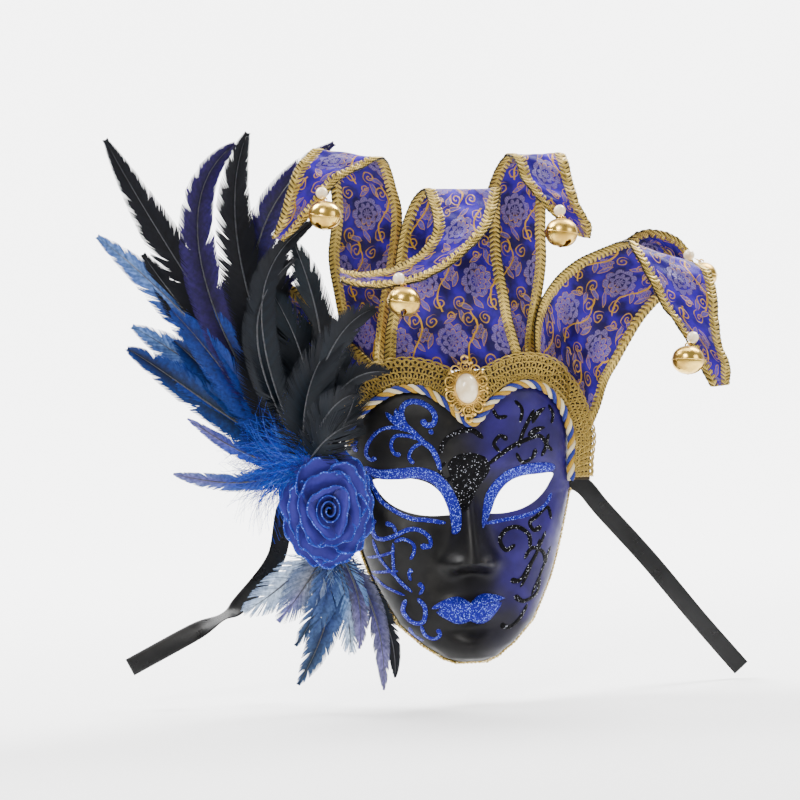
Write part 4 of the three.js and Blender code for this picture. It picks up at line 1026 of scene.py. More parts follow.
def brow_normal(x, z):
    sx = (brow_back(x + 1, z) - brow_back(x - 1, z)) / 2
    sz = (brow_back(x, z + 1) - brow_back(x, z - 1)) / 2
    return Vector((sx, -1, sz)).normalized()


def brow_point(place, outwards, forwards):
    def spot(k):
        return Vector((half_face * along(brow_line, "side", k), brow_rise * along(brow_line, "up", k)))

    here = spot(place)
    run = (spot(min(place + 0.05, brow_places)) - spot(max(place - 0.05, 0))).normalized()
    x = here.x - run.y * outwards
    z = here.y + run.x * outwards
    return Vector((x, brow_back(x, z), z)) + brow_normal(x, z) * forwards


def band_start(place):
    foot = brow_point(place, 0, 0)
    return (rope_radius + 2 * clearance) * (1 + 1.2 * abs(brow_normal(foot.x, foot.z).x))


brow_runs = [0.0]
brow_steps = 260
for k in range(1, brow_steps + 1):
    a = brow_point(brow_places * (k - 1) / brow_steps, 8, 0)
    b = brow_point(brow_places * k / brow_steps, 8, 0)
    brow_runs.append(brow_runs[-1] + (b - a).length)


def brow_place_at(run):
    k = next((i for i in range(1, brow_steps + 1) if brow_runs[i] >= run), brow_steps)
    low, high = brow_runs[k - 1], brow_runs[k]
    return brow_places * (k - 1 + clamp((run - low) / (high - low))) / brow_steps


tape = bmesh.new()


def tape_place(a, b):
    place = brow_places * b
    start = band_start(place)
    reach = band_width * along(band_shares, "wide", place)
    out = lerp(1.2, start + reach * 0.88 + 10 * gauss(place - 6, 0.75), a)
    return brow_point(place, out, lerp(0.5, band_stand + 0.35, smoothstep(out, 3, 5)))


def tape_measure(a, b):
    return (a * band_width * mm, brow_runs[int(round(b * brow_steps))] * mm)


lace_thread = thread_finish("lace_thread", (0.56, 0.38, 0.08), (0.012, 0.007, 0.0015), 0.6, 0.36)
lay_grid(tape, 10, brow_steps, tape_place, tape_measure)
bmesh.ops.recalc_face_normals(tape, faces=tape.faces)
tape_piece = finish_piece("band_tape", tape, [lace_thread], ["crown_band"], 80)
# The tape's relief is set low, so its thread is painted almost the dark colour, as painted shade under the loops.
mark_relief(tape_piece, [0.35] * len(tape_piece.data.vertices))
add_wall(tape_piece, 0.8, 0)


def side_frames(points):
    """A side and an up direction at each point of a path, carried along without twist."""
    frames = []
    side = None
    for k, point in enumerate(points):
        run = (points[min(k + 1, len(points) - 1)] - points[max(k - 1, 0)]).normalized()
        if side is None:
            side = run.orthogonal().normalized()
        side = (side - run * side.dot(run)).normalized()
        frames.append((side, run.cross(side)))
    return frames


def lay_cord(mesh, points, radius, sides, flat=1.0, taper=0.0):
    """A closed tube along the points, with ends drawn in; radius may be a list."""
    frames = side_frames(points)
    last = len(points) - 1
    runs = [0.0]
    for k in range(1, len(points)):
        runs.append(runs[-1] + (points[k] - points[k - 1]).length)

    def place(a, b):
        k = int(round(b * last))
        thick = radius[k] if isinstance(radius, list) else radius
        if k in (0, last):
            thick *= 0.02
        side, up = frames[k]
        turn = 2 * math.pi * a
        return points[k] + side * (thick * math.cos(turn)) + up * (thick * flat * math.sin(turn))

    def measure(a, b):
        thick = radius[0] if isinstance(radius, list) else radius
        return (a * 2 * math.pi * thick * mm, runs[int(round(b * last))] * mm)

    made = lay_grid(mesh, sides, last, place, measure)
    bmesh.ops.remove_doubles(mesh, verts=made, dist=1e-6)


loops = bmesh.new()
total_run = brow_runs[-1]
cord_rows = [
    # share of the band's width, loop size across and along, loops per row, cord radius, height
    (-0.1, 2.0, 2.6, 80, 0.62, 0.7),
    (0.1, 2.2, 2.6, 78, 0.62, 1.1),
    (0.32, 2.4, 2.8, 70, 0.66, 1.5),
    (0.54, 2.4, 2.8, 66, 0.66, 1.5),
    (0.76, 2.6, 3.0, 62, 0.68, 1.3),
    (0.85, 2.8, 3.0, 60, 0.72, 0.9),
]
for share, wide, long, count, thick, height in cord_rows:
    points = []
    for k in range(count * 12 + 1):
        turn = 2 * math.pi * k / 12
        run = 2 + (total_run - 4) * k / (count * 12) + long * 0.8 * math.sin(turn)
        place = brow_place_at(clamp(run, 0.5, total_run - 0.5))
        reach = band_width * along(band_shares, "wide", place)
        out = band_start(place) + reach * share + wide * math.cos(turn)
        points.append(brow_point(place, max(out, rope_radius + 0.6), band_stand + height + 0.5 * math.sin(turn + 0.8)))
    lay_cord(loops, points, thick, 6)
bmesh.ops.recalc_face_normals(loops, faces=loops.faces)
loop_piece = finish_piece("band_loops", loops, [lace_thread], crease=80)
mark_relief(loop_piece, [0.85] * len(loop_piece.data.vertices))

# Rope trim: three twisted strands of blue, cream and gold-yellow cord laid together and glued along
# the brow line. Each strand is a cord wound round the line, with fine yarns on it.
rope_pitch = 18


def yarn_finish(name, light, dark, roughness=0.6):
    material, tree, shader = new_finish(name, roughness, Sheen_Weight=0.05, Specular_IOR_Level=0.3)
    place = uv_place(tree)
    u, v, _ = split(tree, place)
    # The fine yarns are painted darker between their ridges, as painted shade in the grooves; the same ridges give the
    # bump.
    yarn_ridges_and_shade = ((u * 0.9 + v) * 5600.0).sin() * 0.5 + 0.5
    fuzz = speckle(tree, place, 1800.0, 3.0)
    feed(
        tree, shader, Base_Color=tint(tree, yarn_ridges_and_shade * 0.6 + fuzz * 0.4, dark, light),
        Normal=emboss(tree, yarn_ridges_and_shade + fuzz * 0.4, 0.7, 0.0003),
    )
    return material


rope_route = []
rope_steps = 420
for k in range(rope_steps + 1):
    rope_route.append(brow_point(brow_places * k / rope_steps, 0, rope_radius + 2 * clearance))
rope_runs = [0.0]
for k in range(1, rope_steps + 1):
    rope_runs.append(rope_runs[-1] + (rope_route[k] - rope_route[k - 1]).length)
strand_radius = 1.62
strand_out = 1.7
rope_names = [
    ("rope_blue", yarn_finish("rope_blue", (0.006, 0.022, 0.26), (0.002, 0.005, 0.07), 0.5)),
    ("rope_cream", yarn_finish("rope_cream", (0.78, 0.7, 0.48), (0.36, 0.27, 0.12))),
    ("rope_gold", yarn_finish("rope_gold", (0.5, 0.29, 0.01), (0.2, 0.1, 0.005), 0.5)),
]
for number, (name, material) in enumerate(rope_names):
    points = []
    for k, centre in enumerate(rope_route):
        run = (rope_route[min(k + 1, rope_steps)] - rope_route[max(k - 1, 0)]).normalized()
        side = Vector((0, 1, 0)).cross(run).normalized()
        ahead = run.cross(side)
        turn = 2 * math.pi * (rope_runs[k] / rope_pitch + number / 3)
        points.append(centre + side * (strand_out * math.cos(turn)) + ahead * (strand_out * math.sin(turn)))
    strand = bmesh.new()
    lay_cord(strand, points, strand_radius, 12)
    bmesh.ops.recalc_face_normals(strand, faces=strand.faces)
    finish_piece(name, strand, [material], ["rope_trim"] if number == 0 else (), 80)

# Rim trim: a thin two-strand braid of gold glitter thread glued on the shell's edge, from temple to
# temple under the chin.
rim_radius = 1.7
rim_route = []
levels = 150
for sign in (1, -1):
    side_points = []
    for k in range(levels + 1):
        z = -chin_drop * (k / levels) ** 0.7
        x = sign * outline_half(z)
        side_points.append(Vector((x, face_back(x, z), z)))
    rim_route += side_points if sign == 1 else side_points[::-1]
# Gold glitter whose pale flakes are painted glints and whose flake brightness is painted shade.
gold_glitter = glitter_finish("gold_glitter", (0.55, 0.38, 0.1), (1.0, 0.85, 0.5), 0.2, 0.85, 0.3)
rim_runs = [0.0]
for k in range(1, len(rim_route)):
    rim_runs.append(rim_runs[-1] + (rim_route[k] - rim_route[k - 1]).length)


def rim_at(run):
    k = next((i for i in range(1, len(rim_runs)) if rim_runs[i] >= run), len(rim_runs) - 1)
    t = clamp((run - rim_runs[k - 1]) / max(rim_runs[k] - rim_runs[k - 1], 1e-6))
    spot = rim_route[k - 1].lerp(rim_route[k], t)
    step = rim_route[min(k + 2, len(rim_route) - 1)] - rim_route[max(k - 3, 0)]
    return spot, step.normalized()


rim_cords = bmesh.new()
rim_total = rim_runs[-1]
for phase in (0.0, 0.5):
    points = []
    count = int(rim_total / 0.8)
    for k in range(count + 1):
        run_along = rim_total * k / count
        spot, run = rim_at(run_along)
        out = Vector((-run.z, 0, run.x)).normalized()
        across = run.cross(out).normalized()
        turn = 2 * math.pi * (run_along / 6.0 + phase)
        centre = spot + out * (rim_radius * 0.55)
        points.append(centre + out * (0.7 * math.cos(turn)) + across * (0.7 * math.sin(turn)))
    lay_cord(rim_cords, points, 0.95, 6)
bmesh.ops.recalc_face_normals(rim_cords, faces=rim_cords.faces)
finish_piece("rim_braid", rim_cords, [gold_glitter], ["rim_trim"], 80)

# Brooch: a gilt filigree rosette of wire rings round a beaded cup with an oval pearl, with a spade
# at its head and foot, pinned over the band where the brow dips.
brooch_width = 34
brooch_height = 50
pearl_width = 17
pearl_height = 23
brooch_low = brow_rise * 0.64
brooch_high = brooch_low + brooch_height
low_back = brow_back(0, brooch_low) - 2 * rope_radius - 5 * clearance
high_back = brow_back(0, brooch_high) - band_stand - band_thick - 2 * clearance
brooch_seat = Matrix.Translation((0, (low_back + high_back) / 2 * mm, (brooch_low + brooch_high) / 2 * mm)) @ \
    Matrix.Rotation(-math.atan((high_back - low_back) / brooch_height), 4, "X")


def metal_finish(name, light, dark, roughness, scale):
    material, tree, shader = new_finish(name, roughness, 1.0)
    place = object_place(tree)
    cloud = speckle(tree, place, scale, 5.0)
    scratch = speckle(tree, place, scale * 9, 2.0)
    feed(
        tree, shader, Base_Color=tint(tree, cloud.ramp(0.3, 0.65), dark, light),
        Roughness=cloud.ramp(0.3, 0.7, roughness + 0.16, roughness - 0.06),
        Normal=emboss(tree, scratch, 0.12, 0.0002),
    )
    return material


gilt = metal_finish("gilt_metal", (0.9, 0.6, 0.16), (0.35, 0.2, 0.04), 0.34, 120.0)


def ring_points(centre, wide, tall, count=20, bulge=0.0):
    return [
        Vector((
            centre[0] + wide * math.cos(2 * math.pi * k / count),
            centre[2] - bulge * math.sin(math.pi * k / count),
            centre[1] + tall * math.sin(2 * math.pi * k / count),
        )) for k in range(count + 1)
    ]


work = bmesh.new()
for k in range(10):
    turn = 2 * math.pi * (k + 0.5) / 10
    middle = (brooch_width * 0.385 * math.cos(turn), brooch_height * 0.345 * math.sin(turn), -0.9)
    lay_cord(work, ring_points(middle, 3.5, 3.9, 18), 0.62, 8)
    inner = (brooch_width * 0.36 * math.cos(turn), brooch_height * 0.33 * math.sin(turn), -1.2)
    lay_cord(work, ring_points(inner, 1.5, 1.7, 12), 0.5, 6)
    between = 2 * math.pi * k / 10
    bead_spot = (brooch_width * 0.455 * math.cos(between), -1.0, brooch_height * 0.415 * math.sin(between))
    bmesh.ops.create_uvsphere(work, u_segments=12, v_segments=8, radius=1.25 * mm,
                              matrix=Matrix.Translation(Vector(bead_spot) * mm))
for sign in (-1, 1):
    head = (0, sign * brooch_height * 0.455, -0.9)
    lay_cord(work, ring_points(head, 2.6, 2.9, 16), 0.7, 8)
    tip = [Vector((s * 1.9 * (1 - t), -1.0, sign * (brooch_height * 0.5 - 1.5 + 2.6 * t))) for s, t in
           ((-1, 0), (-0.7, 0.45), (0, 1), (0.7, 0.45), (1, 0))]
    lay_cord(work, tip, 0.6, 6)
lay_cord(work, ring_points((0, 0, -1.6), pearl_width * 0.53, pearl_height * 0.53, 40), 0.8, 8)
for k in range(34):
    turn = 2 * math.pi * k / 34
    spot = Vector((pearl_width * 0.6 * math.cos(turn), -1.9, pearl_height * 0.585 * math.sin(turn)))
    bmesh.ops.create_uvsphere(
        work, u_segments=8, v_segments=6, radius=0.62 * mm, matrix=Matrix.Translation(spot * mm),
    )
for k in range(20):
    turn = 2 * math.pi * k / 20
    ray = [
        Vector((s * pearl_width * math.cos(turn), -0.7, s * pearl_height * math.sin(turn)))
        for s in (0.5, 0.62, 0.74)
    ]
    lay_cord(work, ray, 0.4, 6)
bmesh.ops.remove_doubles(work, verts=work.verts, dist=1e-6)
bmesh.ops.transform(work, matrix=brooch_seat, verts=work.verts)
bmesh.ops.recalc_face_normals(work, faces=work.faces)
finish_piece("brooch_scrollwork", work, [gilt], ["brooch_filigree"], 60)

pearl_coat, tree, shader = new_finish(
    "pearl_coat", 0.22, Coat_Weight=0.7, Coat_Roughness=0.08, Subsurface_Weight=0.15, Specular_IOR_Level=0.7,
)
shader.inputs["Subsurface Radius"].default_value = (0.003, 0.002, 0.001)
place = object_place(tree)
cloud = speckle(tree, place, 160.0, 4.0)
feed(
    tree, shader, Base_Color=tint(tree, cloud.ramp(0.3, 0.7), (0.7, 0.54, 0.32), (0.88, 0.76, 0.54)),
    Normal=emboss(tree, cloud, 0.08, 0.0003),
)
stone = bmesh.new()
bmesh.ops.create_uvsphere(stone, u_segments=40, v_segments=24, radius=0.5 * mm)
bmesh.ops.scale(stone, vec=(pearl_width, 14, pearl_height), verts=stone.verts)
bmesh.ops.bisect_plane(
    stone, geom=list(stone.verts) + list(stone.edges) + list(stone.faces), plane_co=(0, 0, 0), plane_no=(0, 1, 0),
    clear_outer=True,
)
edges = [e for e in stone.edges if e.is_boundary]
bmesh.ops.edgeloop_fill(stone, edges=edges)
bmesh.ops.translate(stone, verts=stone.verts, vec=(0, -1.6 * mm, 0))
bmesh.ops.transform(stone, matrix=brooch_seat, verts=stone.verts)
bmesh.ops.recalc_face_normals(stone, faces=stone.faces)
finish_piece("oval_pearl", stone, [pearl_coat], ["brooch_pearl"], 50)

# Beads and bells: at each horn's tip a pearl bead is sewn on, and a round brass jingle bell of two
# pressed halves, with a rolled seam and a slot in its foot, hangs from a short wire under it.
bell_radius = 12
bell_height = 21
bell_wall = 1
bead_radius = 4.4
bells = [
    dict(name="1", horn=1, place=8.9, across=0.85, drop=0.12, ahead=0.75, aside=0.08),
    dict(name="2", horn=2, place=11.7, across=0.9, drop=0.12, ahead=0.75, aside=0.17),
    dict(name="3", horn=3, place=10.1, across=0.25, drop=0.12, ahead=0.75, aside=-0.08),
    dict(name="4", horn=4, place=10.4, across=0.12, drop=0.12, ahead=0.9, aside=-0.58),
    dict(name="5", horn=5, place=9.1, across=0.3, drop=0.12, ahead=0.75, aside=0.6),
]
brass = metal_finish("bell_brass", (0.86, 0.58, 0.14), (0.45, 0.27, 0.05), 0.2, 90.0)

half_skin = bmesh.new()
profile = []
for k in range(25):
    turn = math.pi * k / 24
    out = math.sin(turn) ** 0.86 * bell_radius
    profile.append(half_skin.verts.new(Vector((out if 0 < k < 24 else 0, 0, bell_height / 2 * math.cos(turn))) * mm))
for a, b in zip(profile, profile[1:]):
    half_skin.edges.new((a, b))
bmesh.ops.spin(
    half_skin, geom=list(half_skin.verts) + list(half_skin.edges), cent=(0, 0, 0), axis=(0, 0, 1),
    angle=2 * math.pi, steps=48, use_merge=True, use_duplicate=False,
)
bmesh.ops.remove_doubles(half_skin, verts=half_skin.verts, dist=1e-6)
slot_wide = 1.3
gone = []
for face in half_skin.faces:
    c = face.calc_center_median() / mm
    if c.z < -bell_height * 0.3 and abs(c.y) < slot_wide and abs(c.x) < bell_radius * 0.66:
        gone.append(face)
    elif c.z < -bell_height * 0.12 and (abs(c.x) - bell_radius * 0.72) ** 2 + c.y ** 2 < 5.2:
        gone.append(face)
bmesh.ops.delete(half_skin, geom=gone, context="FACES")
bmesh.ops.recalc_face_normals(half_skin, faces=half_skin.faces)
if sum(f.normal.dot(f.calc_center_median()) for f in half_skin.faces) < 0:
    bmesh.ops.reverse_faces(half_skin, faces=half_skin.faces)
bmesh.ops.solidify(half_skin, geom=half_skin.faces, thickness=bell_wall * 0.6 * mm)
seam_ring = [Vector((
    bell_radius * math.cos(2 * math.pi * k / 48), bell_radius * math.sin(2 * math.pi * k / 48), 0,
)) for k in range(49)]
lay_cord(half_skin, seam_ring, 0.55, 8)
bell_data = bpy.data.meshes.new("bell_pattern")
half_skin.to_mesh(bell_data)
half_skin.free()

for bell in bells:
    horn = horns[bell["horn"]]
    seat = horn_point(horn, bell["place"], bell["across"])
    facing = horn_normal(horn, bell["place"], bell["across"])
    if facing.y > 0:
        facing = -facing
    centre = seat + facing * (bead_radius + braid_thick / 2 + clearance)
    bead = bmesh.new()
    bmesh.ops.create_uvsphere(bead, u_segments=24, v_segments=16, radius=bead_radius * mm,
                              matrix=Matrix.Translation(centre * mm))
    finish_piece("pearl_bead_" + bell["name"], bead, [pearl_coat], ["bead_" + bell["name"]], 80)
    aside, ahead, drop = (bell[key] * bell_radius for key in ("aside", "ahead", "drop"))
    top = Vector((centre.x + aside, centre.y - ahead, centre.z - bead_radius - drop))
    body = bmesh.new()
    body.from_mesh(bell_data)
    lean = Matrix.Rotation(math.radians(25 + 31 * bell["horn"]), 4, "Z") @ Matrix.Rotation(math.radians(9), 4, "X")
    bmesh.ops.transform(body, matrix=Matrix.Translation((top - Vector((0, 0, bell_height / 2))) * mm) @ lean,
                        verts=body.verts)
    start = centre + (top - centre).normalized() * (bead_radius + clearance)
    wire = [start, start.lerp(top, 0.5) + Vector((0, -0.6, 0.2)), top + Vector((0, 0, 0.4)), top - Vector((0, 0, 0.8))]
    lay_cord(body, wire, 0.55, 8)
    shank = [top + Vector((1.9 * math.cos(2 * math.pi * k / 16), 0, 0.2 + 1.9 * math.sin(2 * math.pi * k / 16))) for k in range(17)]
    lay_cord(body, shank, 0.6, 8)
    bmesh.ops.recalc_face_normals(body, faces=body.faces)
    finish_piece("jingle_bell_" + bell["name"], body, [brass], ["bell_" + bell["name"]], 45)

# Rose: cut petals of royal-blue velvet, hot-pressed into cups, their curled edges dipped in pale
# blue glitter, wrapped in rounds over a tight bud and wired to the pad at the temple.
rose_radius = 36
rose_depth = 26
rose_stretch = 1.28
rose_centre = Vector((-1.23 * half_face, 0.02 * face_depth, -0.03 * chin_drop))
felt_thick = 3

velvet, tree, shader = new_finish(
    "rose_velvet", 0.7, Sheen_Weight=0.15, Sheen_Roughness=0.35, Specular_IOR_Level=0.3,
)
place = uv_place(tree)
u, v, _ = split(tree, place)
where = object_place(tree)
nap = speckle(tree, where, 420.0, 3.0)
veins = ((u - 0.5) * 60.0 + nap * 2.0).sin()
# Each petal is painted darker toward its foot deep in the rose, as painted shade in its hollow.
painted_foot_shade = v.ramp(0.1, 0.8)
# Glitter on the petal edges, with painted glints and painted flake shade in its colour.
flake = place_effect(
    tree, glitter_effect, Place=where, Flakes=1100.0, Tilt=0.7, Ground=(0.015, 0.05, 0.45, 1),
    Spark=(0.12, 0.22, 0.85, 1), Share=0.12,
)
cloth_colour = tint(tree, painted_foot_shade * 0.6 + nap * 0.4, (0.006, 0.004, 0.06), (0.019, 0.015, 0.21))
edge_dust = (v + nap * 0.12 - 0.06).ramp(0.93, 0.985).most(
    ((u - 0.5).size() + nap * 0.05).ramp(0.47, 0.51) * v.ramp(0.3, 0.6)
)
feed(
    tree, shader, Base_Color=tint(tree, edge_dust, cloth_colour, flake.outputs["Color"]),
    Normal=emboss(tree, nap + veins * 0.15, 0.35, 0.0004), Metallic=edge_dust * 0.4,
)

rose_rounds = table("petals start end lift cup broad turn", [
    (5, 0.2, 1.0, 0.06, 0.22, 1.16, 0),
    (5, 0.16, 0.86, 0.22, 0.36, 1.0, 36),
    (4, 0.12, 0.62, 0.4, 0.5, 0.98, 75),
    (3, 0.06, 0.4, 0.62, 0.44, 0.8, 20),
])
rose = bmesh.new()
luck = random.Random(7)
for round_row in rose_rounds:
    for k in range(int(round_row["petals"])):
        angle = math.radians(round_row["turn"] + 360 * k / round_row["petals"] + luck.uniform(-9, 9))
        wave = luck.uniform(0, 6.28)
        size = luck.uniform(0.9, 1.02)
        lean = luck.uniform(-0.1, 0.1)
        roll = luck.uniform(1.5, 4.5)

        def petal_place(a, b):
            side = 2 * a - 1
            reach = rose_radius * lerp(round_row["start"], round_row["end"] * size, b)
            tall = rose_depth * (round_row["lift"] + round_row["cup"] * b * b * (1.2 - 0.5 * b))
            half = rose_radius * round_row["broad"] * 0.5 * (0.35 + 0.65 * math.sin(math.pi * (0.2 + 0.6 * b)))
            bow = 1 - (0.2 - 0.1 * b) * side * side
            scallop = 0.02 * b * math.sin(8 * side + wave) * rose_radius * round_row["end"]
            curl_back = smoothstep(b, 0.7, 1.0) * roll - smoothstep(b, 0.92, 1.0) * 0.6
            ruffle = 1.7 * b * b * math.sin(6 * side + wave) * (0.3 + abs(side))
            tall += rose_depth * (0.14 * side * side + lean * side) - curl_back + ruffle
            p = Vector((reach * bow + scallop, -max(tall, -1.0), half * side * (1.06 if b > 0.5 else 1.0)))
            c, s = math.cos(angle), math.sin(angle)
            return rose_centre + Vector((p.x * c + p.z * s, p.y, (p.z * c - p.x * s) * rose_stretch))

        lay_grid(rose, 18, 18, petal_place)
rose_piece = finish_piece("velvet_petals", rose, [velvet], ["rose"], 80)
add_wall(rose_piece, 0.7, 0)

bud = bmesh.new()


def bud_place(a, b):
    turn = 2 * math.pi * (0.15 + 2.6 * a)
    reach = rose_radius * (0.03 + 0.2 * a)
    flare = 1 + 0.25 * b
    return rose_centre + Vector((
        reach * flare * math.cos(turn), -rose_depth * (0.25 + 0.72 * b - 0.12 * a),
        reach * flare * math.sin(turn) * rose_stretch,
    ))


lay_grid(bud, 80, 8, bud_place)
bud_piece = finish_piece("velvet_bud", bud, [velvet], crease=80)
add_wall(bud_piece, 0.7, 0)

# Feathers: dyed goose and cock feathers on a felt pad glued to the shell at the temple, behind the
# rose. Each has a tapering quill, rows of barbs on both sides and down near its foot.
plume_reach = 190
plume_rise = 250
plume_drop = 110
plume_bulge = 44
plume_broad = 34
felt_middle = rose_centre.y + clearance + felt_thick / 2
upper_root = rose_centre + Vector((-0.36 * rose_radius, 0, 0.89 * rose_radius))
lower_root = rose_centre + Vector((0.11 * rose_radius, 0, -0.72 * rose_radius))
upper_root.y = felt_middle
lower_root.y = felt_middle + felt_thick + clearance
black = (0.0028, 0.003, 0.0042)
teal_black = (0.0022, 0.006, 0.0105)
green_black = (0.004, 0.01, 0.008)
violet_black = (0.007, 0.004, 0.022)
navy = (0.004, 0.01, 0.09)
navy_violet = (0.008, 0.006, 0.08)
blue = (0.006, 0.025, 0.3)
steel = (0.1, 0.19, 0.42)
lavender = (0.14, 0.12, 0.36)
pale_blue = (0.5, 0.62, 0.8)
grey = (0.16, 0.17, 0.21)
slate = (0.008, 0.009, 0.014)
violet_edge = (0.03, 0.014, 0.16)
blue_edge = (0.015, 0.06, 0.36)
upper_plumes = table("b1 b2 tip ahead broad foot end edge", [
    ((-0.25, 0.34), (-0.5, 0.61), (-0.74, 0.97), -0.09, 0.82, black, black, slate),
    ((-0.37, 0.37), (-0.55, 0.79), (-0.25, 0.95), 0.05, 0.71, violet_black, violet_black, violet_edge),
    ((-0.14, 0.34), (-0.36, 0.7), (-0.2, 0.98), 0.14, 0.82, black, black, slate),
    ((-0.28, 0.35), (-0.29, 0.75), (0.14, 0.95), -0.2, 0.76, navy_violet, violet_black, violet_edge),
    ((-0.26, 0.29), (-0.48, 0.5), (-0.78, 0.69), -0.18, 0.76, blue, steel, blue_edge),
    ((-0.21, 0.35), (-0.26, 0.59), (0.04, 0.72), 0.68, 0.53, teal_black, black, slate),
    ((0.12, 0.28), (0.05, 0.48), (-0.04, 0.66), 0.52, 0.82, black, teal_black, teal_black),
    ((0.0, 0.26), (0.1, 0.43), (0.25, 0.46), 1.0, 0.65, teal_black, black, slate),
    ((-0.04, 0.14), (-0.02, 0.31), (0.17, 0.42), 0.75, 1.0, teal_black, black, slate),
    ((-0.31, 0.14), (-0.53, 0.29), (-0.68, 0.36), 0.0, 0.59, green_black, black, blue_edge),
    ((-0.2, 0.13), (-0.35, 0.35), (-0.51, 0.47), 0.09, 0.71, navy, navy, blue_edge),
    ((-0.2, 0.0), (-0.33, 0.08), (-0.46, 0.15), 0.18, 0.3, blue, lavender, blue_edge),
    ((-0.22, -0.07), (-0.37, -0.04), (-0.52, -0.01), 0.18, 0.35, blue, lavender, steel),
])
lower_plumes = table("b1 b2 tip ahead broad foot end edge", [
    ((-0.17, -0.25), (-0.25, -0.37), (-0.35, -0.45), 0.0, 0.65, pale_blue, pale_blue, steel),
    ((-0.09, -0.25), (-0.14, -0.37), (-0.22, -0.52), 0.09, 0.71, grey, lavender, steel),
    ((0.01, -0.39), (-0.04, -0.65), (-0.15, -0.95), 0.18, 0.59, navy, teal_black, steel),
    ((0.06, -0.39), (0.05, -0.59), (0.06, -0.74), 0.27, 0.59, steel, pale_blue, steel),
    ((0.16, -0.33), (0.19, -0.66), (0.18, -1.0), 0.39, 0.41, navy_violet, lavender, grey),
    ((0.2, -0.4), (0.24, -0.68), (0.23, -0.93), 0.23, 0.32, teal_black, black, slate),
])

plumage, tree, shader = new_finish("plumage", 0.46, Specular_IOR_Level=0.14)
dye = tree.nodes.new("ShaderNodeAttribute")
dye.attribute_name = "dye"
place = uv_place(tree)
u, v, _ = split(tree, place)
streak = speckle(tree, object_place(tree), 380.0, 3.0)
feed(
    tree, shader,
    Base_Color=tint(tree, streak.ramp(0.3, 0.7) * 0.5, dye.outputs["Color"], (0.004, 0.005, 0.008)),
    Normal=emboss(tree, (u * 900.0).sin() + streak, 0.3, 0.0002),
)

quill_horn, tree, shader = new_finish("quill_horn", 0.4, Coat_Weight=0.3)
place = object_place(tree)
streak = speckle(tree, place, 500.0, 3.0)
feed(
    tree, shader, Base_Color=tint(tree, streak.ramp(0.3, 0.7), (0.006, 0.007, 0.01), (0.03, 0.034, 0.045)),
    Normal=emboss(tree, streak, 0.3, 0.0002),
)

felt, tree, shader = new_finish("black_felt", 0.95, Sheen_Weight=0.4)
place = object_place(tree)
fibres = speckle(tree, place, 900.0, 5.0)
feed(
    tree, shader, Base_Color=tint(tree, fibres.ramp(0.3, 0.7), (0.008, 0.008, 0.01), (0.03, 0.03, 0.034)),
    Normal=emboss(tree, fibres, 0.8, 0.0005),
)


def plume_path(root, plume, rise):
    def corner(pair, ahead):
        return Vector((root.x + pair[0] * plume_reach, root.y - ahead * plume_bulge, root.z + pair[1] * rise))

    a = corner((0, 0), 0)
    b = corner(plume["b1"], plume["ahead"] * 0.6)
    c = corner(plume["b2"], plume["ahead"])
    d = corner(plume["tip"], plume["ahead"])

    def at(t):
        s = 1 - t
        return a * s ** 3 + b * (3 * t * s * s) + c * (3 * t * t * s) + d * t ** 3

    return at


def plume_half(plume, t):
    swell = math.sin(math.pi * min(0.12 + 0.87 * t ** 0.9, 1)) ** 0.6
    return plume_broad * plume["broad"] * 0.64 * max(0.05, swell)


def blend_colour(a, b, t, dim):
    return tuple(lerp(a[k], b[k], t) * dim for k in range(3))


def lay_strips(mesh, count, steps, place, shade):
    """Many narrow strips in one go: place(strip, a, b) in millimetres, shade(strip, b) its colour."""
    layer = mesh.loops.layers.float_color["dye"]
    uv_layer = mesh.loops.layers.uv.verify()
    columns = 2 * count - 1
    made = bmesh.ops.create_grid(mesh, x_segments=columns, y_segments=steps, size=0.5)["verts"]
    faces = {face for corner in made for face in corner.link_faces}
    spaces = {face for face in faces if int((face.calc_center_median().x + 0.5) * columns) % 2}
    shades = {}
    for corner in made:
        column = int(round((corner.co.x + 0.5) * columns))
        strip, edge, b = column // 2, column % 2, corner.co.y + 0.5
        shades[corner] = ((*shade(strip, b), 1.0), (edge * mm, b * 0.02 + strip * 0.011))
        corner.co = place(strip, edge, b) * mm
    for face in faces - spaces:
        for loop in face.loops:
            loop[layer], loop[uv_layer].uv = shades[loop.vert]
    bmesh.ops.delete(mesh, geom=list(spaces), context="FACES")


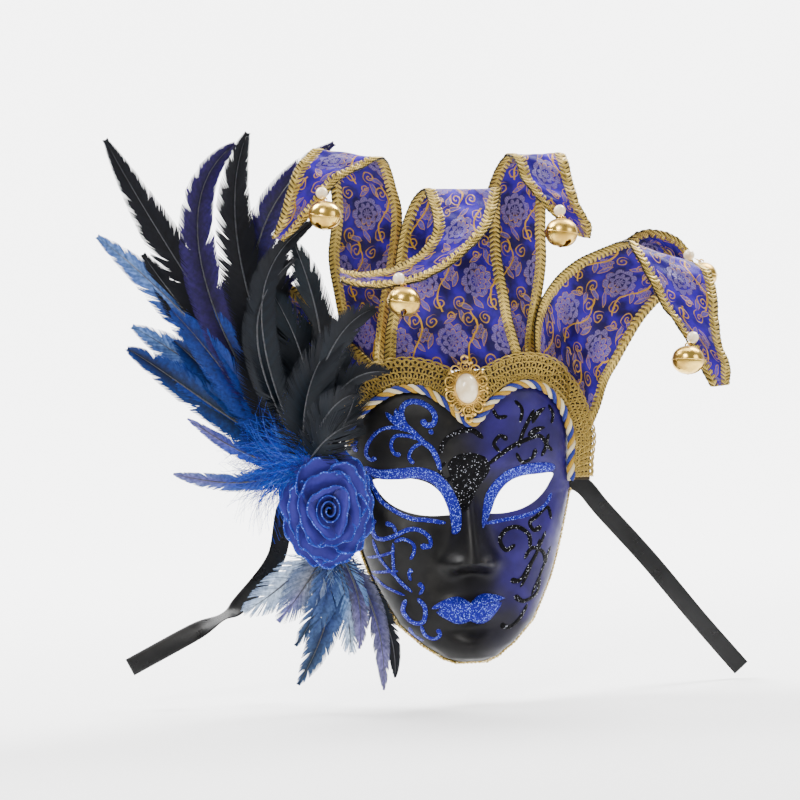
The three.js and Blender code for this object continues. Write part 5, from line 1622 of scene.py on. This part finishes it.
def lay_vane(vanes, plume, at, length, side_sign, turn, luck):
    """One side of a feather: barbs side by side along the quill, split here and there."""
    count = int(length / 0.85)
    breaks = [(luck.uniform(0.22, 0.97), luck.uniform(0.15, 0.6)) for _ in range(6)]
    drift = luck.uniform(0, 50)
    barbs = []
    for k in range(count):
        t = 0.05 + 0.95 * k / (count - 1)
        run = (at(min(t + 0.01, 1)) - at(max(t - 0.01, 0))).normalized()
        flat_side = Vector((0, 1, 0)).cross(run).normalized() * side_sign
        rise = run.cross(flat_side)
        lean = turn + 0.35 * noise.noise(Vector((drift, 3 * t, 0)))
        side = flat_side * math.cos(lean) + rise * (math.sin(lean) * side_sign)
        loose = smoothstep(t, 0.3, 0.08)
        sweep = 0.95 + 0.5 * t + 0.1 * noise.noise(Vector((drift, 9 * t, 9)))
        cut = 1.0
        for spot, depth in breaks:
            near = (t - spot) / 0.014
            sweep += 0.45 * depth * math.tanh(2 * near) * math.exp(-near * near / 3)
            cut -= 0.16 * depth * math.exp(-near * near * 4)
        ahead = sweep * plume_half(plume, t)
        reach = plume_half(plume, min(t + ahead / length, 1.0)) * cut * luck.uniform(0.97, 1.02)
        ahead = min(ahead, (1.005 - t) * length) * luck.uniform(0.98, 1.02)
        curl = luck.uniform(-1, 1) * (0.25 + 3.5 * loose)
        if loose > 0.4:
            ahead += luck.uniform(-7, 4)
            reach *= luck.uniform(0.8, 1.25)
        wide = lerp(1.75, 0.5, loose)
        dim = 0.85 + 0.7 * max(-0.45, noise.noise(Vector((drift, 60 * t, 5)))) + luck.uniform(-0.1, 0.1)
        colour = blend_colour(plume["foot"], plume["end"], smoothstep(t, 0.4, 0.85), dim)
        barbs.append((at(t), run, side, rise, reach, ahead, curl, wide, colour))

    def barb_place(strip, edge, b):
        base, run, side, rise, reach, ahead, curl, wide, _ = barbs[strip]
        out = side * (reach * b) + run * (ahead * (0.62 * b + 0.38 * b * b))
        out += rise * (0.16 * reach * b * b + curl * b * b - 0.25)
        return base + out + run * (wide * (1 - 0.72 * b ** 4) * (edge - 0.5))

    def barb_shade(strip, b):
        return blend_colour(barbs[strip][-1], plume["edge"], 0.5 * b, 1.0)

    lay_strips(vanes, count, 4, barb_place, barb_shade)


def make_plumes(name, root, plumes, rise, replaced, seed, under):
    luck = random.Random(seed)
    vanes = bmesh.new()
    vanes.loops.layers.float_color.new("dye")
    quills = bmesh.new()
    grown = [(plume, 0.0, 1.0, 0.0) for plume in plumes]
    for pick, swing, size, behind in under:
        grown.append((plumes[pick], math.radians(swing), size, behind))
    for number, (plume, swing, size, behind) in enumerate(grown):
        straight = plume_path(root, plume, rise)
        c, s = math.cos(swing) * size, math.sin(swing) * size

        def at(t):
            p = straight(t) - root
            return root + Vector((p.x * c - p.z * s, p.y + behind * t, p.x * s + p.z * c))

        steps = 22
        spine = [at(k / steps) for k in range(steps + 1)]
        length = sum((spine[k + 1] - spine[k]).length for k in range(steps))
        radii = [lerp(1.1, 0.22, k / steps) for k in range(steps + 1)]
        lay_cord(quills, spine, radii, 6)
        turn = luck.uniform(-0.45, 0.45)
        for side_sign in (-1, 1):
            lay_vane(vanes, plume, at, length, side_sign, turn, luck)
    finish_piece(name + "_vanes", vanes, [plumage], replaced, 180)
    bmesh.ops.recalc_face_normals(quills, faces=quills.faces)
    finish_piece(name + "_quills", quills, [quill_horn], crease=80)


# feathers tucked between the main ones: which is repeated, its swing, size and how far behind
upper_under = [
    (0, 6, 0.7, 5), (1, 5, 0.62, 6), (2, -5, 0.66, 5), (3, 7, 0.6, 5), (4, 9, 0.72, 6), (4, -8, 0.55, 3),
    (10, -8, 0.95, 4), (9, -10, 0.85, 5), (2, 9, 0.5, 1), (5, 5, 0.85, 4), (6, 8, 0.8, 4), (10, 14, 0.9, 6),
    (6, -34, 0.42, -3), (7, -8, 0.5, -2), (5, -38, 0.5, -4), (6, -16, 0.6, -2), (8, -32, 0.45, -2),
]
lower_under = [(0, 8, 0.8, 3), (1, 7, 0.8, 3), (2, -6, 0.75, 3), (3, 6, 0.85, 3), (4, -5, 0.7, 3)]
make_plumes(
    "upper_plumes", upper_root, upper_plumes, plume_rise, ["feathers_upper"], 11, upper_under,
)
make_plumes(
    "lower_plumes", lower_root, lower_plumes, plume_drop, ["feathers_lower"], 12, lower_under,
)

fluff = bmesh.new()
fluff.loops.layers.float_color.new("dye")
luck = random.Random(5)
fluff_colours = [(0.01, 0.05, 0.5), (0.012, 0.07, 0.6), (0.01, 0.02, 0.25), (0.05, 0.12, 0.6)]
wisps = []
for k in range(1500):
    lean = luck.uniform(0.05, 1.0)
    wisps.append(dict(
        angle=math.radians(lerp(88, 212, lean)), bend=luck.uniform(-0.9, 0.9),
        reach=luck.uniform(26, 62) * (1.0 if k % 4 else 0.6), puff=luck.uniform(-9, 5),
        start=upper_root + Vector((luck.uniform(-8, 8), luck.uniform(-3, 2), luck.uniform(-10, 6))),
        colour=tuple(c * luck.uniform(0.7, 1.2) for c in luck.choice(fluff_colours)),
    ))


def wisp_place(strip, edge, b):
    wisp = wisps[strip]
    turn = wisp["angle"] + wisp["bend"] * b * b
    spot = wisp["start"] + Vector((math.cos(turn), 0, math.sin(turn))) * (wisp["reach"] * b)
    spot.y += wisp["puff"] * math.sin(2.2 * b)
    return spot + Vector((math.sin(turn), 0.3, -math.cos(turn))) * ((edge - 0.5) * 0.6 * (1 - 0.7 * b))


lay_strips(fluff, len(wisps), 5, wisp_place, lambda strip, b: wisps[strip]["colour"])
finish_piece("blue_fluff", fluff, [plumage], crease=180)

pads = bmesh.new()
for spot, wide, tall in (
    (Vector((rose_centre.x, felt_middle, rose_centre.z + 0.2 * rose_radius)), 0.8, 0.95),
    (lower_root, 0.28, 0.28),
):
    made = bmesh.ops.create_cone(
        pads, cap_ends=True, segments=48, radius1=rose_radius * mm, radius2=rose_radius * mm, depth=felt_thick * mm,
        matrix=Matrix.Translation(spot * mm) @ Matrix.Diagonal((wide, 1, tall, 1)) @
        Matrix.Rotation(math.pi / 2, 4, "X"),
    )["verts"]
tab_rows = [
    [Vector((-share * half_face, felt_middle, z)) for z in (0.07 * brow_rise, -0.05 * chin_drop)] +
    [Vector((-share * half_face, face_back(-share * half_face, z) - 4.5 * clearance, z))
     for z in (-0.05 * chin_drop, 0.07 * brow_rise)]
    for share in (0.94, 0.9, 0.86)
]


def tab_place(a, b):
    ring = tab_rows[int(round(2 * b))]
    return ring[int(round(4 * a)) % 4]


made = lay_grid(pads, 4, 2, tab_place)
bmesh.ops.remove_doubles(pads, verts=made, dist=1e-6)
bmesh.ops.holes_fill(pads, edges=[e for e in pads.edges if e.is_boundary], sides=4)
bmesh.ops.recalc_face_normals(pads, faces=pads.faces)
finish_piece("felt_pads", pads, [felt], crease=40)

# Ribbons: black double-face satin, 14 mm wide, one glued behind each temple's edge, for tying the
# mask on. They hang away to cut ends, with a turn in the left one that shows it edge on.
ribbon_width = 14
ribbon_thick = 0.9
ribbon_back = face_depth + shell_wall / 2 + ribbon_thick / 2 + clearance
satin, tree, shader = new_finish(
    "black_satin", 0.45, Anisotropic=0.5, Specular_IOR_Level=0.2,
)
place = uv_place(tree)
u, v, _ = split(tree, place)
warp = (u * 9000.0).sin() * 0.5 + (v * 2500.0).sin() * 0.2
selvedge = (u / (ribbon_width * mm) - 0.5).size().ramp(0.44, 0.5)
haze = speckle(tree, place, 50.0, 3.0)
feed(
    tree, shader,
    Base_Color=tint(
        tree, haze.ramp(0.3, 0.7) * 0.6 + selvedge * 0.4, (0.0018, 0.0018, 0.002), (0.005, 0.005, 0.0055),
    ),
    Normal=emboss(tree, warp + selvedge, 0.3, 0.0002), Roughness=haze.ramp(0.3, 0.7, 0.24, 0.4),
)
ribbons = [
    dict(name="right", side=1, reach=139, fall=156, rows=table("side down turn", [
        (0, 0, 0), (0.11, 0.05, 0), (0.22, 0.17, 12), (0.475, 0.43, 0), (0.755, 0.74, 20), (1, 1, 0),
    ])),
    dict(name="left", side=-1, reach=171, fall=132, rows=table("side down turn", [
        (0, 0, 0), (0.15, 0.02, 0), (0.28, 0.1, 20), (0.34, 0.41, 0), (0.5, 0.66, 30),
        (0.585, 0.735, 75), (0.73, 0.826, 20), (1, 1, 0),
    ])),
]
for strip in ribbons:
    rows = strip["rows"]
    last = len(rows) - 1
    steps = 110

    def ribbon_spot(place):
        return Vector((
            strip["side"] * (0.965 * half_face + strip["reach"] * along(rows, "side", place)), ribbon_back,
            0.09 * brow_rise - strip["fall"] * along(rows, "down", place),
        ))

    runs = [0.0]
    for k in range(1, steps + 1):
        runs.append(runs[-1] + (ribbon_spot(last * k / steps) - ribbon_spot(last * (k - 1) / steps)).length)

    def ribbon_place(a, b):
        place = last * b
        run = (ribbon_spot(min(place + 0.1, last)) - ribbon_spot(max(place - 0.1, 0))).normalized()
        across = run.cross(Vector((0, 1, 0))).normalized()
        turn = math.radians(along(rows, "turn", place))
        side = across * math.cos(turn) + run.cross(across) * math.sin(turn)
        cup = run.cross(side) * (0.25 * (1 - (2 * a - 1) ** 2))
        return ribbon_spot(place) + side * ((a - 0.5) * ribbon_width) + cup

    def ribbon_measure(a, b):
        return (a * ribbon_width * mm, runs[int(round(b * steps))] * mm)

    tape = bmesh.new()
    lay_grid(tape, 8, steps, ribbon_place, ribbon_measure)
    ribbon = finish_piece(
        "satin_ribbon_" + strip["name"], tape, [satin], ["ribbon_" + strip["name"]], 80,
    )
    add_wall(ribbon, 0.35, 0)

# Setting: a plain pale sweep for floor and backdrop, soft studio light from large panels, and the
# camera where the photo was taken from.
sweep = bmesh.new()
floor_level = -156


def sweep_place(a, b):
    x = lerp(-4500, 4500, a)
    run = lerp(-2600, 4200, b)
    bend = clamp((run - 900) / 900)
    if run < 900:
        return x, run, floor_level
    if run < 1800:
        turn = bend * math.pi / 2
        return x, 900 + 900 * math.sin(turn), floor_level + 900 * (1 - math.cos(turn))
    return x, 1800, floor_level + 900 + (run - 1800)


lay_grid(sweep, 2, 96, sweep_place)
sweep_paint, tree, shader = new_finish("sweep_paint", 0.9)
shader.inputs["Base Color"].default_value = (0.9, 0.9, 0.9, 1)
sweep_data = bpy.data.meshes.new("sweep")
sweep.to_mesh(sweep_data)
sweep.free()
sweep_data.shade_smooth()
sweep_data.materials.append(sweep_paint)
backdrop = bpy.data.objects.new("sweep", sweep_data)
bpy.context.scene.collection.objects.link(backdrop)

world = bpy.data.worlds.new("studio")
bpy.context.scene.world = world
world.use_nodes = True
sky = world.node_tree.nodes["Background"]
sky.inputs["Color"].default_value = (1.0, 1.0, 1.0, 1)
sky.inputs["Strength"].default_value = 0.34


def soft_panel(name, place, target, size, power, colour=(1, 1, 1)):
    lamp = bpy.data.lights.new(name, "AREA")
    lamp.shape = "RECTANGLE"
    lamp.size, lamp.size_y = size
    lamp.energy = power
    lamp.color = colour
    panel = bpy.data.objects.new(name, lamp)
    bpy.context.scene.collection.objects.link(panel)
    aim = (Vector(target) - Vector(place)).to_track_quat("-Z", "Y")
    panel.matrix_world = Matrix.Translation(Vector(place)) @ aim.to_matrix().to_4x4()


soft_panel("key_panel", (-0.8, -1.3, 1.3), (0, 0, 0.08), (0.6, 0.6), 34, (1.0, 0.98, 0.95))
soft_panel("fill_panel", (1.3, -1.1, 0.6), (0, 0, 0.05), (0.8, 0.8), 13)
soft_panel("top_panel", (0.1, 0.2, 1.6), (0, 0, 0.05), (1.2, 0.8), 16)
soft_panel("left_wall_panel", (-1.1, 0.6, 1.5), (-0.3, 1.5, 0.0), (1.0, 0.8), 120)
soft_panel("right_wall_panel", (1.1, 0.6, 1.5), (0.3, 1.5, 0.0), (1.0, 0.8), 120)

lens = bpy.data.cameras.new("photo_view")
lens.sensor_width = 36
lens.lens = 36 * view_distance / (800 * unit)
camera = bpy.data.objects.new("photo_view", lens)
bpy.context.scene.collection.objects.link(camera)
turn = Matrix((view_right, view_up, view_back)).transposed()
camera.matrix_world = Matrix.Translation(eye_place * mm) @ turn.to_4x4()
bpy.context.scene.camera = camera
